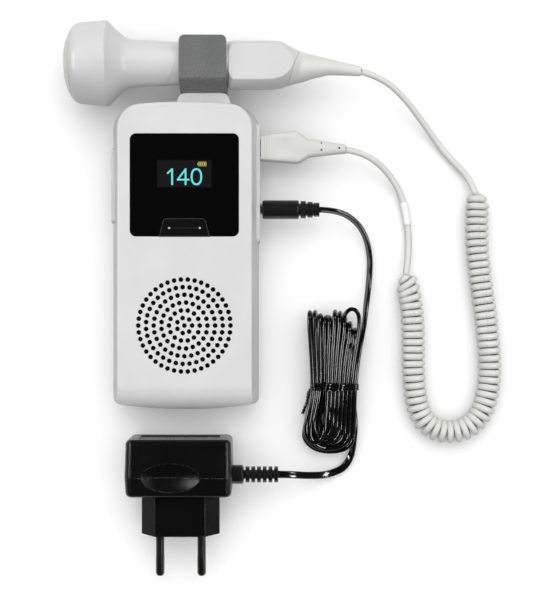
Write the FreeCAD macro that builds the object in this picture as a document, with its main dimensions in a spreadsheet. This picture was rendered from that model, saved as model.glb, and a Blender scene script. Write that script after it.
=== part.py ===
import FreeCAD, Part
import math
import os
import re

import Sketcher
from FreeCAD import Placement, Rotation, Vector

# Handheld fetal doppler monitor with its clipped-on probe, curly probe cord and wall adapter.
# Millimetres. X to the socket side, Y to the probe end, Z up. The unit lies on its back and the
# origin is the middle of its flat back face.

doc = FreeCAD.newDocument("fetal_doppler_monitor")
sheet = doc.addObject("Spreadsheet::Sheet", "Sizes")
nodes = []
CLOSE = 0.001  # two places closer than this are one

SIZES = [
    # case
    ("case_length", 139.0, "overall length of the case"),
    ("case_width", 66.4, "width at the parting line"),
    ("case_depth", 26.0, "back face to front face"),
    ("parting_height", 13.0, "height of the parting line"),
    ("wall", 2.0, "wall of both covers"),
    ("face_inset", 3.1, "how far each side leans in from the parting line to the face"),
    ("face_end_inset", 0.7, "the same at the two ends"),
    ("base_inset", 2.0, "how far the back leans in all round"),
    ("top_crown", 2.5, "rise of the curved top end"),
    ("foot_crown", 2.7, "fall of the curved foot end"),
    ("top_corner", 11.0, "corner radius at the top end"),
    ("foot_corner", 3.0, "corner radius at the foot end"),
    ("foot_roll", 11.5, "radius that rolls the face down to the foot"),
    ("face_edge", 1.4, "rounding of the front edge"),
    ("base_edge", 2.6, "rounding of the back edge"),
    # lens, display and power button
    ("lens_width", 48.6, "black display lens"),
    ("lens_height", 45.9, "black display lens"),
    ("lens_from_top", 38.05, "top end of the case to the middle of the lens"),
    ("lens_corner", 2.7, "corner radius of the lens"),
    ("lens_thickness", 1.2, "lens and its recess"),
    ("fit_gap", 0.1, "gap round a part that is pressed or glued in"),
    ("window_width", 24.3, "lit area of the display"),
    ("window_height", 12.2, "lit area of the display"),
    ("window_shift", 5.0, "middle of the lit area above the middle of the lens"),
    ("window_margin", 1.0, "opening beyond the lit area"),
    ("display_margin", 4.5, "display glass beyond the lit area"),
    ("display_thickness", 2.2, "display module"),
    ("power_base", 22.4, "power button, width at its lower edge"),
    ("power_top", 18.5, "power button, width at its upper edge"),
    ("power_height", 8.0, "power button along the case"),
    ("power_corner", 1.7, "upper corners of the power button"),
    ("power_rise", 0.3, "power button above the lens"),
    ("power_travel", 0.6, "stroke of the power button"),
    ("key_gap", 0.25, "running gap round buttons and keys"),
    ("flange", 1.2, "lip that keeps a button or key in the case"),
    ("flange_thickness", 1.0, "thickness of that lip"),
    # grille and speaker
    ("grille_from_foot", 38.2, "foot of the case to the middle of the speaker grille"),
    ("grille_pitch", 3.43, "distance from ring to ring"),
    ("grille_hole", 2.18, "diameter of a grille hole"),
    ("grille_rings", 6, "rings round the middle hole"),
    ("grille_step", 7, "holes that each ring adds"),
    ("speaker_diameter", 44.0, "speaker frame"),
    ("speaker_rim", 1.6, "thickness of the speaker's rim"),
    ("speaker_lift", 1.5, "speaker magnet above the battery tray"),
    ("magnet_diameter", 24.0, "speaker magnet"),
    ("magnet_depth", 5.5, "speaker magnet"),
    ("speaker_flange", 2.0, "flat of the speaker's rim"),
    ("speaker_wall", 0.5, "speaker frame at its rim"),
    ("cone_margin", 3.0, "foot of the cone inside the magnet's edge"),
    ("cone_floor", 1.0, "foot of the cone above the magnet"),
    ("cloth_thickness", 0.3, "dust cloth behind the grille"),
    ("cloth_margin", 0.5, "dust cloth inside the speaker's rim"),
    # side panels, keys and sockets
    ("panel_proud", 0.5, "side panels beyond the parting line"),
    ("panel_seat", 1.2, "depth of the seat of a side panel"),
    ("panel_height", 9.0, "side panels"),
    ("panel_corner", 2.0, "corner radius of a side panel"),
    ("panel_edge", 0.4, "rounding of a side panel's rim"),
    ("port_panel_margin", 10.7, "port panel above the probe socket"),
    ("port_panel_foot", 15.3, "port panel below the power jack"),
    ("key_panel_margin", 7.3, "key panel above the mode key"),
    ("key_panel_foot", 8.2, "key panel below the volume keys"),
    ("key_width", 3.6, "side keys, front to back"),
    ("key_rise", 0.4, "side keys beyond their panel"),
    ("key_travel", 0.5, "stroke of a side key"),
    ("key_corner", 1.2, "corner radius of a side key"),
    ("key_lip", 0.9, "lip that keeps a side key in the case"),
    ("mode_key_from_top", 27.8, "top end of the case to the mode key"),
    ("mode_key_length", 7.0, "mode key"),
    ("mode_to_volume", 9.9, "mode key to the volume-up key"),
    ("volume_pitch", 8.6, "volume-up key to the volume-down key"),
    ("volume_key_length", 6.4, "volume keys"),
    ("socket_gap", 0.2, "gap round the sockets"),
    ("socket_corner", 0.8, "corners of the sockets"),
    ("probe_port_from_top", 20.2, "top end of the case to the probe socket"),
    ("probe_socket_width", 10.6, "probe socket"),
    ("probe_socket_height", 6.2, "probe socket"),
    ("probe_socket_depth", 12.0, "probe socket, into the case"),
    ("tongue_width", 8.0, "connector tongue"),
    ("tongue_height", 3.2, "connector tongue"),
    ("tongue_reach", 7.0, "connector tongue beyond the hood"),
    ("port_spacing", 28.0, "probe socket to the power jack"),
    ("jack_width", 9.0, "power jack"),
    ("jack_depth", 13.0, "power jack, into the case"),
    ("barrel_diameter", 5.5, "power plug barrel"),
    ("barrel_bore", 2.5, "bore of the barrel"),
    ("barrel_reach", 9.0, "barrel beyond its grip"),
    ("jack_pin", 2.0, "pin in the jack"),
    ("plug_gap", 0.3, "gap between the port panel and a seated plug"),
    # board and its carriers
    ("board_width", 54.0, "main board"),
    ("board_length", 60.0, "main board"),
    ("board_from_top", 15.5, "top end of the case to the main board"),
    ("board_thickness", 1.6, "main board"),
    ("post_diameter", 5.0, "posts that carry the board"),
    ("post_x", 21.0, "posts off the middle line"),
    ("post_inset", 3.8, "posts from the board's ends"),
    ("switch_size", 6.0, "power switch"),
    ("switch_from_foot", 1.0, "power switch from the foot of the lens"),
    # battery
    ("door_from_side", 10.2, "battery door from the parting line's sides"),
    ("door_thickness", 1.6, "battery door"),
    ("door_overlap", 2.0, "battery door above the battery pack"),
    ("door_travel", 8.0, "slide of the door before it drops out"),
    ("door_tab", 1.2, "side tabs of the door beyond its plate"),
    ("door_tab_thickness", 0.8, "side tabs of the door"),
    ("door_tab_length", 6.0, "side tabs of the door"),
    ("door_tab_first", 8.0, "top end of the door to its first pair of tabs"),
    ("door_tab_pitch", 26.0, "first to second pair of tabs"),
    ("door_gap", 0.2, "running gap round the door"),
    ("ledge_height", 3.4, "thick floor round the battery opening"),
    ("battery_length", 52.0, "battery pack"),
    ("battery_from_side", 13.2, "battery pack from the parting line's sides"),
    ("battery_depth", 7.8, "battery pack"),
    ("battery_corner", 3.0, "long edges of the battery pack"),
    ("battery_foot", 7.5, "foot of the case to the battery pack"),
    ("battery_gap", 0.3, "gap round the battery pack"),
    ("tray_wall", 1.2, "battery tray"),
    # case screws
    ("screw_from_side", 7.7, "case screws from the parting line's sides"),
    ("screw_from_end", 9.5, "case screws from the ends"),
    ("screw_head", 4.2, "screw head"),
    ("screw_head_depth", 1.4, "screw head"),
    ("screw_sink", 0.6, "screw head under the back face"),
    ("screw_slot", 0.6, "slot of a screw head"),
    ("screw_slot_depth", 0.6, "slot of a screw head"),
    ("screw_shank", 2.2, "screw shank"),
    ("screw_reach", 6.0, "screw in the front cover"),
    ("boss_diameter", 6.0, "bosses for the case screws"),
    # probe clip and its bracket
    ("bracket_x", 8.35, "middle of the bracket and the clip"),
    ("bracket_width", 24.0, "bracket at the case"),
    ("bracket_top_width", 21.4, "bracket at the clip"),
    ("bracket_reach", 3.9, "bracket beyond the case"),
    ("bracket_corner", 4.0, "shoulders of the bracket"),
    ("bracket_low", 9.0, "back face of the bracket"),
    ("bracket_high", 22.0, "front face of the bracket"),
    ("bracket_edge", 0.6, "rounding of the bracket's front edge"),
    ("clip_width", 21.0, "probe clip"),
    ("clip_arm", 2.4, "thickness of the clip's arms"),
    ("clip_reach", 10.6, "arms beyond the probe's axis"),
    ("clip_gap", 0.3, "gap between the clip and the probe"),
    ("clip_bend", 9.2, "probe's axis to the start of the bend"),
    ("clip_bend_round", 2.2, "outer bend of the clip"),
    ("clip_stand", 1.0, "clip in front of its bracket"),
    ("clip_back_round", 3.0, "clip where it meets the bracket"),
    ("clip_foot", 4.0, "slope and blend behind the lower arm"),
    ("clip_hair", 0.01, "flat left between the two bends inside"),
    ("clip_tip_corner", 2.4, "corners of the arms' tips"),
    ("clip_edge", 0.4, "bevel round the clip's front"),
    # probe
    ("probe_from_top", 17.3, "top end of the case to the probe axis"),
    ("probe_z", 19.6, "probe axis"),
    ("head_radius", 19.1, "probe head at its rear rim"),
    ("head_front_radius", 17.9, "probe head behind its rounded front"),
    ("head_front_x", -53.7, "front of the probe head"),
    ("head_shoulder_x", -49.1, "rounded front ends here"),
    ("head_rim_x", -34.8, "rear rim of the head"),
    ("neck_x", -25.3, "cone meets the handle here"),
    ("neck_radius", 10.9, "handle at the neck"),
    ("window_face_radius", 11.7, "flat of the acoustic window"),
    ("window_depth", 3.2, "acoustic window, front to back"),
    ("window_round", 2.5, "blend of the acoustic window's flat"),
    ("window_bevel", 3.4, "slope round the acoustic window"),
    ("window_bevel_depth", 1.6, "slope round the acoustic window"),
    ("window_rim", 1.6, "body round the acoustic window"),
    ("head_round", 1.5, "rounded front of the head"),
    ("rim_round", 1.2, "rear rim of the head"),
    ("cone_step", 3.0, "start of the cone behind the rim"),
    ("cone_drop", 3.5, "start of the cone below the rim"),
    ("cone_round", 10.0, "hollow of the cone"),
    ("neck_round", 8.0, "blend of cone and handle"),
    ("waist_step", 0.6, "slope between handle and waist"),
    ("handle_radius", 10.0, "handle"),
    ("waist_radius", 9.7, "handle in the clip"),
    ("waist_start_x", -5.1, "round handle ends here"),
    ("grip_start_x", 19.6, "grip begins here"),
    ("transducer_radius", 14.0, "crystal disc behind the window"),
    ("transducer_depth", 8.0, "crystal disc and backing"),
    ("grip_top", 10.0, "grip from the axis to its far side"),
    ("grip_bottom", 11.7, "grip from the axis to its near side"),
    ("grip_height", 9.9, "half of the grip's thickness"),
    ("grip_face_far", 8.0, "flat face of the grip, far edge"),
    ("grip_face_near", 8.4, "flat face of the grip, near edge"),
    ("grip_corner", 2.6, "rounding along the grip's sides"),
    ("grip_end_x", 43.0, "grip begins to round off"),
    ("seam_x", 49.8, "seam of grip and boot on the axis"),
    ("seam_tilt", 20.0, "lean of that seam, degrees"),
    ("grip_edge", 0.8, "rounding of the grip's flat faces"),
    ("grip_neck_x", 47.2, "middle section of the rounded end"),
    ("grip_neck_scale", 0.78, "its width against the grip's"),
    ("grip_neck_height_scale", 0.97, "its height against the grip's"),
    ("grip_neck_shift", -0.5, "its shift off the axis"),
    ("grip_end_scale", 0.53, "last section's width against the grip's"),
    ("grip_end_height_scale", 0.6, "its height against the grip's"),
    ("grip_end_shift", -1.2, "its shift off the axis"),
    ("grip_end_reach", 6.0, "last section beyond the seam"),
    ("boot_lap", 4.0, "boot's first section before the seam"),
    ("boot_root_radius", 7.6, "boot's first section"),
    ("boot_root_shift", -1.7, "boot's first section off the axis"),
    ("boot_seam_reach", 2.0, "second section beyond the seam"),
    ("boot_seam_radius", 6.3, "second section"),
    ("boot_seam_shift", -1.6, "second section off the axis"),
    ("boot_middle_reach", 9.0, "third section beyond the seam"),
    ("boot_middle_radius", 4.6, "third section"),
    ("boot_neck_reach", 17.0, "fourth section beyond the seam"),
    ("boot_neck_radius", 3.4, "fourth section"),
    ("boot_neck_shift", -2.2, "fourth section off the axis"),
    ("boot_length", 29.5, "seam to the end of the boot"),
    ("boot_end_radius", 2.2, "end of the boot"),
    ("boot_end_shift", -3.6, "end of the boot off the axis"),
    # cords
    ("lead_diameter", 3.0, "probe cord"),
    ("coil_diameter", 10.8, "curly part, outside"),
    ("supply_width", 3.3, "two-core supply cord"),
    # probe connector
    ("connector_z", 13.0, "plug axes above the table"),
    ("hood_start_width", 11.4, "hood at the socket"),
    ("hood_width", 14.0, "hood at its widest"),
    ("hood_length", 21.2, "hood"),
    ("hood_shoulder", 15.5, "hood, socket to its widest part"),
    ("hood_height", 8.6, "hood, front to back"),
    ("hood_edge", 1.4, "rounding of the hood"),
    ("relief_width", 7.8, "connector relief at the hood"),
    ("relief_height", 6.6, "connector relief at the hood"),
    ("relief_length", 17.6, "connector relief"),
    ("relief_end", 4.6, "connector relief at the cord"),
    ("relief_shift", -0.7, "sideways lean of the relief"),
    ("relief_corner_share", 0.42, "corners of the relief against its height"),
    ("hood_round", 5.0, "shoulders of the hood"),
    ("tongue_corner", 0.5, "connector tongue"),
    ("dimple", 1.0, "dimples in the relief"),
    ("dimple_depth", 0.4, "dimples in the relief"),
    ("dimple_first", 6.5, "hood to the pair of dimples"),
    ("dimple_side", 1.45, "that pair off the middle"),
    ("dimple_last", 15.0, "hood to the last dimple"),
    # power plug
    ("grip_diameter", 8.6, "power plug grip"),
    ("grip_length", 16.6, "power plug grip"),
    ("plug_shoulder", 0.8, "metal rim in front of the grip"),
    ("plug_bevel", 0.4, "front edge of the grip"),
    ("plug_round", 0.8, "rear edge of the grip"),
    ("plug_neck", 5.8, "core between the ribs"),
    ("plug_rib_first", 8.0, "first rib"),
    ("plug_rib_last", 6.4, "last rib"),
    ("plug_ribs", 3, "ribs behind the grip"),
    ("plug_rib_pitch", 3.1, "ribs behind the grip"),
    ("plug_rib_width", 2.3, "ribs behind the grip"),
    # wall adapter
    ("adapter_left", -26.9, "adapter case, left side"),
    ("adapter_width", 48.3, "adapter case"),
    ("adapter_height", 28.0, "adapter case above the table"),
    ("adapter_top", -82.3, "adapter case, face toward the unit"),
    ("adapter_seam", -99.3, "seam of the two shells"),
    ("adapter_foot", -108.1, "adapter case, plug side"),
    ("adapter_draft", 0.6, "shells lean in from the seam"),
    ("adapter_side_round", 3.6, "long edges of the adapter"),
    ("adapter_end_round", 2.2, "edges of the shells' far faces"),
    ("adapter_panel_depth", 0.5, "sunk panel in the adapter's end"),
    ("adapter_panel_margin", 6.0, "rim round the sunk panel"),
    ("scoop_x", -6.2, "middle of the thumb scoop"),
    ("scoop_width", 26.4, "thumb scoop"),
    ("scoop_length", 13.6, "thumb scoop"),
    ("scoop_depth", 2.6, "thumb scoop"),
    ("neck_middle", -2.35, "middle of the wall-plug neck"),
    ("plug_width", 35.3, "wall-plug neck"),
    ("plug_thickness", 13.7, "wall-plug neck"),
    ("plug_side", 3.4, "side face of the neck"),
    ("plug_flat", 22.6, "flat face of the neck"),
    ("plug_length", 18.5, "wall-plug neck"),
    ("plug_end_slope", 0.7, "slope of the neck's end"),
    ("pin_spacing", 18.9, "wall-plug pins"),
    ("pin_diameter", 4.0, "wall-plug pins"),
    ("pin_length", 19.0, "wall-plug pins"),
    ("pin_sleeve", 10.0, "sleeve on the pins"),
    ("pin_sleeve_diameter", 3.8, "sleeve on the pins"),
    ("pin_core", 3.0, "pin inside its sleeve"),
    ("pin_root", 6.0, "pin inside the neck"),
    ("pin_point", 0.2, "flat left on a pin's rounded tip"),
    ("collar_diameter", 8.65, "adapter relief collar"),
    ("collar_length", 4.9, "adapter relief collar"),
    ("collar_root", 2.0, "adapter relief inside the case"),
    ("collar_round", 1.2, "rounding of the collar"),
    ("rib_diameter", 7.3, "adapter relief ribs"),
    ("rib_count", 6, "adapter relief ribs"),
    ("rib_pitch", 2.6, "adapter relief ribs"),
    ("rib_width", 1.75, "adapter relief ribs"),
    ("rib_core", 4.2, "adapter relief between its ribs"),
    # tie of the hank
    ("tie_y", -59.8, "tie round the hank"),
    ("tie_width", 3.3, "tie round the hank"),
    ("tie_thickness", 0.9, "tie round the hank"),
    ("tie_gap", 0.4, "gap between the tie and the hank"),
]

# places that follow from the sizes above
FOLLOWS = {
    "lens_y": "(case_length / 2 - lens_from_top)",
    "window_y": "(lens_y + window_shift)",
    "grille_y": "(grille_from_foot - case_length / 2)",
    "probe_port_y": "(case_length / 2 - probe_port_from_top)",
    "power_port_y": "(probe_port_y - port_spacing)",
    "port_panel_low": "(power_port_y - port_panel_foot)",
    "port_panel_high": "(probe_port_y + port_panel_margin)",
    "mode_key_y": "(case_length / 2 - mode_key_from_top)",
    "volume_up_y": "(mode_key_y - mode_to_volume)",
    "volume_down_y": "(volume_up_y - volume_pitch)",
    "key_panel_low": "(volume_down_y - key_panel_foot)",
    "key_panel_high": "(mode_key_y + key_panel_margin)",
    "board_high": "(case_length / 2 - board_from_top)",
    "board_low": "(board_high - board_length)",
    "battery_y": "(battery_foot + battery_length / 2 - case_length / 2)",
    "door_high": "(battery_y + battery_length / 2 + door_overlap)",
    "door_width": "(case_width - 2 * door_from_side)",
    "battery_width": "(case_width - 2 * battery_from_side)",
    "battery_roof": "(door_thickness + battery_depth + 2 * battery_gap)",
    "speaker_top": "(case_depth - wall - cloth_thickness)",
    "speaker_depth": "(speaker_top - battery_roof - tray_wall - speaker_lift)",
    "screw_x": "(case_width / 2 - screw_from_side)",
    "screw_y": "(case_length / 2 - screw_from_end)",
    "probe_y": "(case_length / 2 + probe_from_top)",
    "plug_x": "(case_width / 2 + panel_proud + plug_gap)",
}

for row, (alias, number, note) in enumerate(SIZES, 1):
    sheet.set(f"A{row}", alias)
    sheet.set(f"B{row}", str(number))
    sheet.set(f"C{row}", note)
    sheet.setAlias(f"B{row}", alias)
doc.recompute()
names = {alias for alias, number, note in SIZES}


# ---------------------------------------------------------------- expressions and sketches

def spell(match):
    word = match[0]
    return refer(FOLLOWS[word]) if word in FOLLOWS else f"Sizes.{word}" if word in names else word


def refer(text):
    """An expression in the sheet's names, written as another object needs it."""
    return re.sub(r"[a-z][a-z_0-9]*", spell, str(text))


def value(text):
    """The number an expression gives."""
    return float(sheet.evalExpression(refer(text)))


def bind(thing, prop, text):
    thing.setExpression(prop, refer(text))


def new_body(name, x=None, y=None, z=None):
    body = doc.addObject("PartDesign::Body", name)
    for axis, text in (("x", x), ("y", y), ("z", z)):
        if text is not None:
            bind(body, f"Placement.Base.{axis}", text)
    return body


def new_sketch(body, name, plane, level):
    sketch = body.newObject("Sketcher::SketchObject", f"{body.Name}_{name}")
    origin = [f for f in body.Origin.OriginFeatures if f.Role == plane][0]
    sketch.AttachmentSupport = [(origin, "")]
    sketch.MapMode = "FlatFace"
    bind(sketch, "AttachmentOffset.Base.z", level)
    return sketch


def limit(sketch, kind, *where):
    """Adds a constraint; the last item is an expression where the kind has a size."""
    if kind in ("DistanceX", "DistanceY", "Radius"):
        index = sketch.addConstraint(Sketcher.Constraint(kind, *where[:-1], value(where[-1])))
        bind(sketch, f"Constraints[{index}]", where[-1])
    else:
        sketch.addConstraint(Sketcher.Constraint(kind, *where))


def fix_point(sketch, geo, pos, x, y):
    limit(sketch, "DistanceX", -1, 1, geo, pos, x)
    limit(sketch, "DistanceY", -1, 1, geo, pos, y)


def draw(sketch, corners):
    """Closed outline through corners (x, y) or (x, y, radius), each an expression."""
    count = len(corners)
    spots = [Vector(value(c[0]), value(c[1]), 0) for c in corners]
    radii = [value(c[2]) if len(c) > 2 else 0 for c in corners]
    leave, arrive, arcs = list(spots), list(spots), {}
    for i in range(count):
        if radii[i]:
            back = (spots[i - 1] - spots[i]).normalize()
            on = (spots[(i + 1) % count] - spots[i]).normalize()
            half = back.getAngle(on) / 2
            arrive[i] = spots[i] + back * (radii[i] / math.tan(half))
            leave[i] = spots[i] + on * (radii[i] / math.tan(half))
            centre = spots[i] + (back + on).normalize() * (radii[i] / math.sin(half))
            left_turn = back.cross(on).z < 0
            first, last = (arrive[i], leave[i]) if left_turn else (leave[i], arrive[i])
            turn = [math.atan2((p - centre).y, (p - centre).x) for p in (first, last)]
            circle = Part.Circle(centre, Vector(0, 0, 1), radii[i])
            arcs[i] = (Part.ArcOfCircle(circle, turn[0], turn[1]), left_turn)
    lines = [sketch.addGeometry(Part.LineSegment(leave[i], arrive[(i + 1) % count]))
             for i in range(count)]
    for i, corner in enumerate(corners):
        before, after = lines[i - 1], lines[i]
        if i not in arcs:
            limit(sketch, "Coincident", before, 2, after, 1)
            fix_point(sketch, after, 1, corner[0], corner[1])
            continue
        arc = sketch.addGeometry(arcs[i][0])
        mark = sketch.addGeometry(Part.Point(spots[i]), True)
        near, far = (1, 2) if arcs[i][1] else (2, 1)
        limit(sketch, "Tangent", before, 2, arc, near)
        limit(sketch, "Tangent", arc, far, after, 1)
        limit(sketch, "PointOnObject", mark, 1, before)
        limit(sketch, "PointOnObject", mark, 1, after)
        fix_point(sketch, mark, 1, corner[0], corner[1])
        limit(sketch, "Radius", arc, corner[2])
    return sketch


def outline(body, name, corners, plane="XY_Plane", level="0"):
    return draw(new_sketch(body, name, plane, level), corners)


def box_corners(x, y, width, height, radius=None):
    """Corners of a rectangle round (x, y)."""
    last = (radius,) if radius else ()
    return [(f"{x} + ({sx}) * ({width}) / 2", f"{y} + ({sy}) * ({height}) / 2", *last)
            for sx, sy in ((-1, -1), (1, -1), (1, 1), (-1, 1))]


def disc(body, name, x, y, diameter, plane="XY_Plane", level="0"):
    sketch = new_sketch(body, name, plane, level)
    centre = Vector(value(x), value(y), 0)
    ring = sketch.addGeometry(Part.Circle(centre, Vector(0, 0, 1), value(diameter) / 2))
    fix_point(sketch, ring, 3, x, y)
    limit(sketch, "Radius", ring, f"({diameter}) / 2")
    return sketch


# ---------------------------------------------------------------- features

def pad(body, sketch, length, both_ways=False):
    feature = body.newObject("PartDesign::Pad", f"{sketch.Name}_pad")
    feature.Profile = sketch
    bind(feature, "Length", length)
    if both_ways:
        feature.SideType = "Symmetric"
    return feature


def pocket_through(body, sketch):
    feature = body.newObject("PartDesign::Pocket", f"{sketch.Name}_cut")
    feature.Profile = sketch
    feature.Type = "ThroughAll"
    feature.Midplane = True
    return feature


def revolve(body, sketch, axis="H_Axis"):
    feature = body.newObject("PartDesign::Revolution", f"{sketch.Name}_turn")
    feature.Profile = sketch
    feature.ReferenceAxis = (sketch, [axis])
    feature.Angle = 360
    return feature


def loft(body, sketches, straight=True):
    feature = body.newObject("PartDesign::AdditiveLoft", f"{body.Name}_loft")
    feature.Profile = sketches[0]
    feature.Sections = sketches[1:]
    feature.Ruled = straight
    return feature


def dress(kind, body, feature, choose, size):
    """Fillet or Chamfer on the edges of a feature that choose() accepts."""
    doc.recompute()
    edges = [f"Edge{i}" for i, edge in enumerate(feature.Shape.Edges, 1) if choose(edge)]
    result = body.newObject(f"PartDesign::{kind}", f"{feature.Name}_{kind.lower()}")
    result.Base = (feature, edges)
    bind(result, "Radius" if kind == "Fillet" else "Size", size)
    return result


def middle(edge):
    return edge.valueAt((edge.FirstParameter + edge.LastParameter) / 2)


def along(edge, axis):
    """True for a straight edge along an axis, 0 to 2."""
    run = edge.Vertexes[-1].Point - edge.Vertexes[0].Point
    return run.Length > 10 * CLOSE and abs(abs(run[axis]) - run.Length) < CLOSE


def flat_at(edge, axis, level):
    """True for an edge that lies in the plane at a level of an axis."""
    ends = [edge.valueAt(p) for p in (edge.FirstParameter, edge.LastParameter)] + [middle(edge)]
    return all(abs(point[axis] - level) < CLOSE for point in ends)


def join(kind, name, *shapes):
    """Part boolean of two or more objects: Cut, Fuse or Common."""
    if len(shapes) > 2 and kind != "Cut":
        result = doc.addObject(f"Part::Multi{kind}", name)
        result.Shapes = list(shapes)
        return result
    result = doc.addObject(f"Part::{kind}", name)
    result.Base = shapes[0]
    result.Tool = shapes[1] if len(shapes) == 2 else join("Fuse", f"{name}_tools", *shapes[1:])
    return result


def block(name, low, high):
    """Part::Box between two corners given as expressions."""
    box = doc.addObject("Part::Box", name)
    for axis, side, start, end in zip("xyz", ("Length", "Width", "Height"), low, high):
        bind(box, side, f"({end}) - ({start})")
        bind(box, f"Placement.Base.{axis}", start)
    return box


def rod(name, x, y, z, diameter, height):
    """Upright Part::Cylinder."""
    cylinder = doc.addObject("Part::Cylinder", name)
    bind(cylinder, "Radius", f"({diameter}) / 2")
    bind(cylinder, "Height", height)
    for axis, text in zip("xyz", (x, y, z)):
        bind(cylinder, f"Placement.Base.{axis}", text)
    return cylinder


def node(name, thing):
    """Marks an object as the finished sub-part of that name."""
    thing.Label = name
    nodes.append(thing)
    return thing


# ---------------------------------------------------------------- case

def crowned(body, name, level, half_width, top, foot, inset="0"):
    """Case outline: straight sides, bowed ends and round corners, all tangent."""
    sketch = new_sketch(body, name, "XY_Plane", level)
    side = value(half_width)
    ends = []
    for sign, crown, corner, end in ((1, "top_crown", "top_corner", top),
                                     (-1, "foot_crown", "foot_corner", foot)):
        bow = f"(case_width ^ 2 / 8 / {crown} + {crown} / 2)"
        round_ = f"({corner} - ({inset}))" if corner == "top_corner" else corner
        big, small = value(bow), value(round_)
        hub = Vector(0, value(end) - sign * big, 0)
        cx = side - small
        cy = hub.y + sign * math.sqrt((big - small) ** 2 - cx ** 2)
        lean = math.atan2(sign * (cy - hub.y), cx)
        ends.append((sign, bow, round_, big, small, hub, cx, cy, lean, end))

    def arc(centre, radius, start, stop):
        circle = Part.Circle(centre, Vector(0, 0, 1), radius)
        return sketch.addGeometry(Part.ArcOfCircle(circle, start, stop))

    up, down = ends
    quarter = math.pi / 2
    right = sketch.addGeometry(Part.LineSegment(Vector(side, down[7], 0), Vector(side, up[7], 0)))
    corner_1 = arc(Vector(up[6], up[7], 0), up[4], 0, up[8])
    top_bow = arc(up[5], up[3], up[8], 2 * quarter - up[8])
    corner_2 = arc(Vector(-up[6], up[7], 0), up[4], 2 * quarter - up[8], 2 * quarter)
    left = sketch.addGeometry(Part.LineSegment(Vector(-side, up[7], 0), Vector(-side, down[7], 0)))
    corner_3 = arc(Vector(-down[6], down[7], 0), down[4], 2 * quarter, 2 * quarter + down[8])
    foot_bow = arc(down[5], down[3], 2 * quarter + down[8], 4 * quarter - down[8])
    corner_4 = arc(Vector(down[6], down[7], 0), down[4], 4 * quarter - down[8], 4 * quarter)
    chain = [right, corner_1, top_bow, corner_2, left, corner_3, foot_bow, corner_4]
    for piece, following in zip(chain, chain[1:] + chain[:1]):
        limit(sketch, "Tangent", piece, 2, following, 1)
    limit(sketch, "Vertical", right)
    limit(sketch, "Vertical", left)
    limit(sketch, "DistanceX", -1, 1, right, 1, half_width)
    limit(sketch, "DistanceX", -1, 1, left, 1, f"-({half_width})")
    for (sign, bow, round_, *rest, end), arcs in ((up, (corner_1, corner_2, top_bow)),
                                                  (down, (corner_3, corner_4, foot_bow))):
        limit(sketch, "Radius", arcs[0], round_)
        limit(sketch, "Radius", arcs[1], round_)
        limit(sketch, "Radius", arcs[2], bow)
        limit(sketch, "PointOnObject", arcs[2], 3, -2)
        limit(sketch, "DistanceY", -1, 1, arcs[2], 3, f"{end} - ({sign}) * {bow}")
    return sketch


def case_form(name, inset, far, far_side, far_end):
    """Solid between the parting line and a far level, drawn in by an inset."""
    body = new_body(name)
    half = f"case_width / 2 - ({inset})"
    end = f"case_length / 2 - ({inset})"
    near_line = crowned(body, "parting", "parting_height", half, end, f"-({end})", inset)
    far_line = crowned(body, "far", far, f"{half} - {far_side}", f"{end} - {far_end}",
                       f"-({end} - {far_end})", inset)
    loft(body, [near_line, far_line])
    return body


def roll_foot(body, inset):
    """Rolls the face down to the foot end."""
    end = f"-(case_length / 2 - ({inset}))"
    face = f"case_depth - ({inset})"
    beyond = "-case_length"
    above = "case_depth + wall"
    corners = [(beyond, "case_depth - foot_roll"), (end, "case_depth - foot_roll"),
               (end, face, f"foot_roll - ({inset}) - 0.01"), ("-case_length / 4", face),
               ("-case_length / 4", above), (beyond, above)]
    return pocket_through(body, outline(body, "roll", corners, "YZ_Plane"))


def front_form():
    body = case_form("front_form", "0", "case_depth", "face_inset", "face_end_inset")
    rolled = roll_foot(body, "0")
    depth = value("case_depth")
    dress("Fillet", body, rolled, lambda e: flat_at(e, 2, depth) and not
          (along(e, 0) and middle(e).y < 0), "face_edge")
    return body


def front_void():
    body = case_form("front_void", "wall", "case_depth - wall", "face_inset", "face_end_inset")
    roll_foot(body, "wall")
    return body


def rear_form():
    body = case_form("rear_form", "0", "0", "base_inset", "base_inset")
    doc.recompute()
    dress("Fillet", body, body.Tip, lambda e: flat_at(e, 2, 0), "base_edge")
    return body


def side_outline(body, name, panel, level, grow="0"):
    """Rounded outline of a side panel on the plane of the sides."""
    low, high = f"{panel}_low", f"{panel}_high"
    corners = box_corners(f"({low} + {high}) / 2", "parting_height",
                          f"{high} - {low} + 2 * ({grow})", f"panel_height + 2 * ({grow})",
                          "panel_corner")
    return outline(body, name, corners, "YZ_Plane", level)


def side_panel(name, panel, sign):
    """Panel set in one side of the case, and the seat that the covers get for it."""
    inner = "case_width / 2 - panel_seat"
    outer = "case_width / 2 + panel_proud"
    body = new_body(f"{name}_form")
    start = inner if sign > 0 else f"-({outer})"
    plate = pad(body, side_outline(body, "rim", panel, start), "panel_seat + panel_proud")
    face = sign * value(outer)
    dress("Fillet", body, plate, lambda e: flat_at(e, 0, face), "panel_edge")
    seat = new_body(f"{name}_seat")
    start = inner if sign > 0 else f"-({outer} + wall)"
    pad(seat, side_outline(seat, "rim", panel, start), "panel_seat + panel_proud + wall")
    return body, seat


def key_tool(name, y, length, grow, inner, outer):
    """Bar on the left side, between two distances from the middle."""
    body = new_body(name)
    corners = box_corners(y, "parting_height", f"{length} + 2 * ({grow})",
                          f"key_width + 2 * ({grow})", f"key_corner + ({grow})")
    pad(body, outline(body, "bar", corners, "YZ_Plane", f"-({outer})"), f"({outer}) - ({inner})")
    return body


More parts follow.
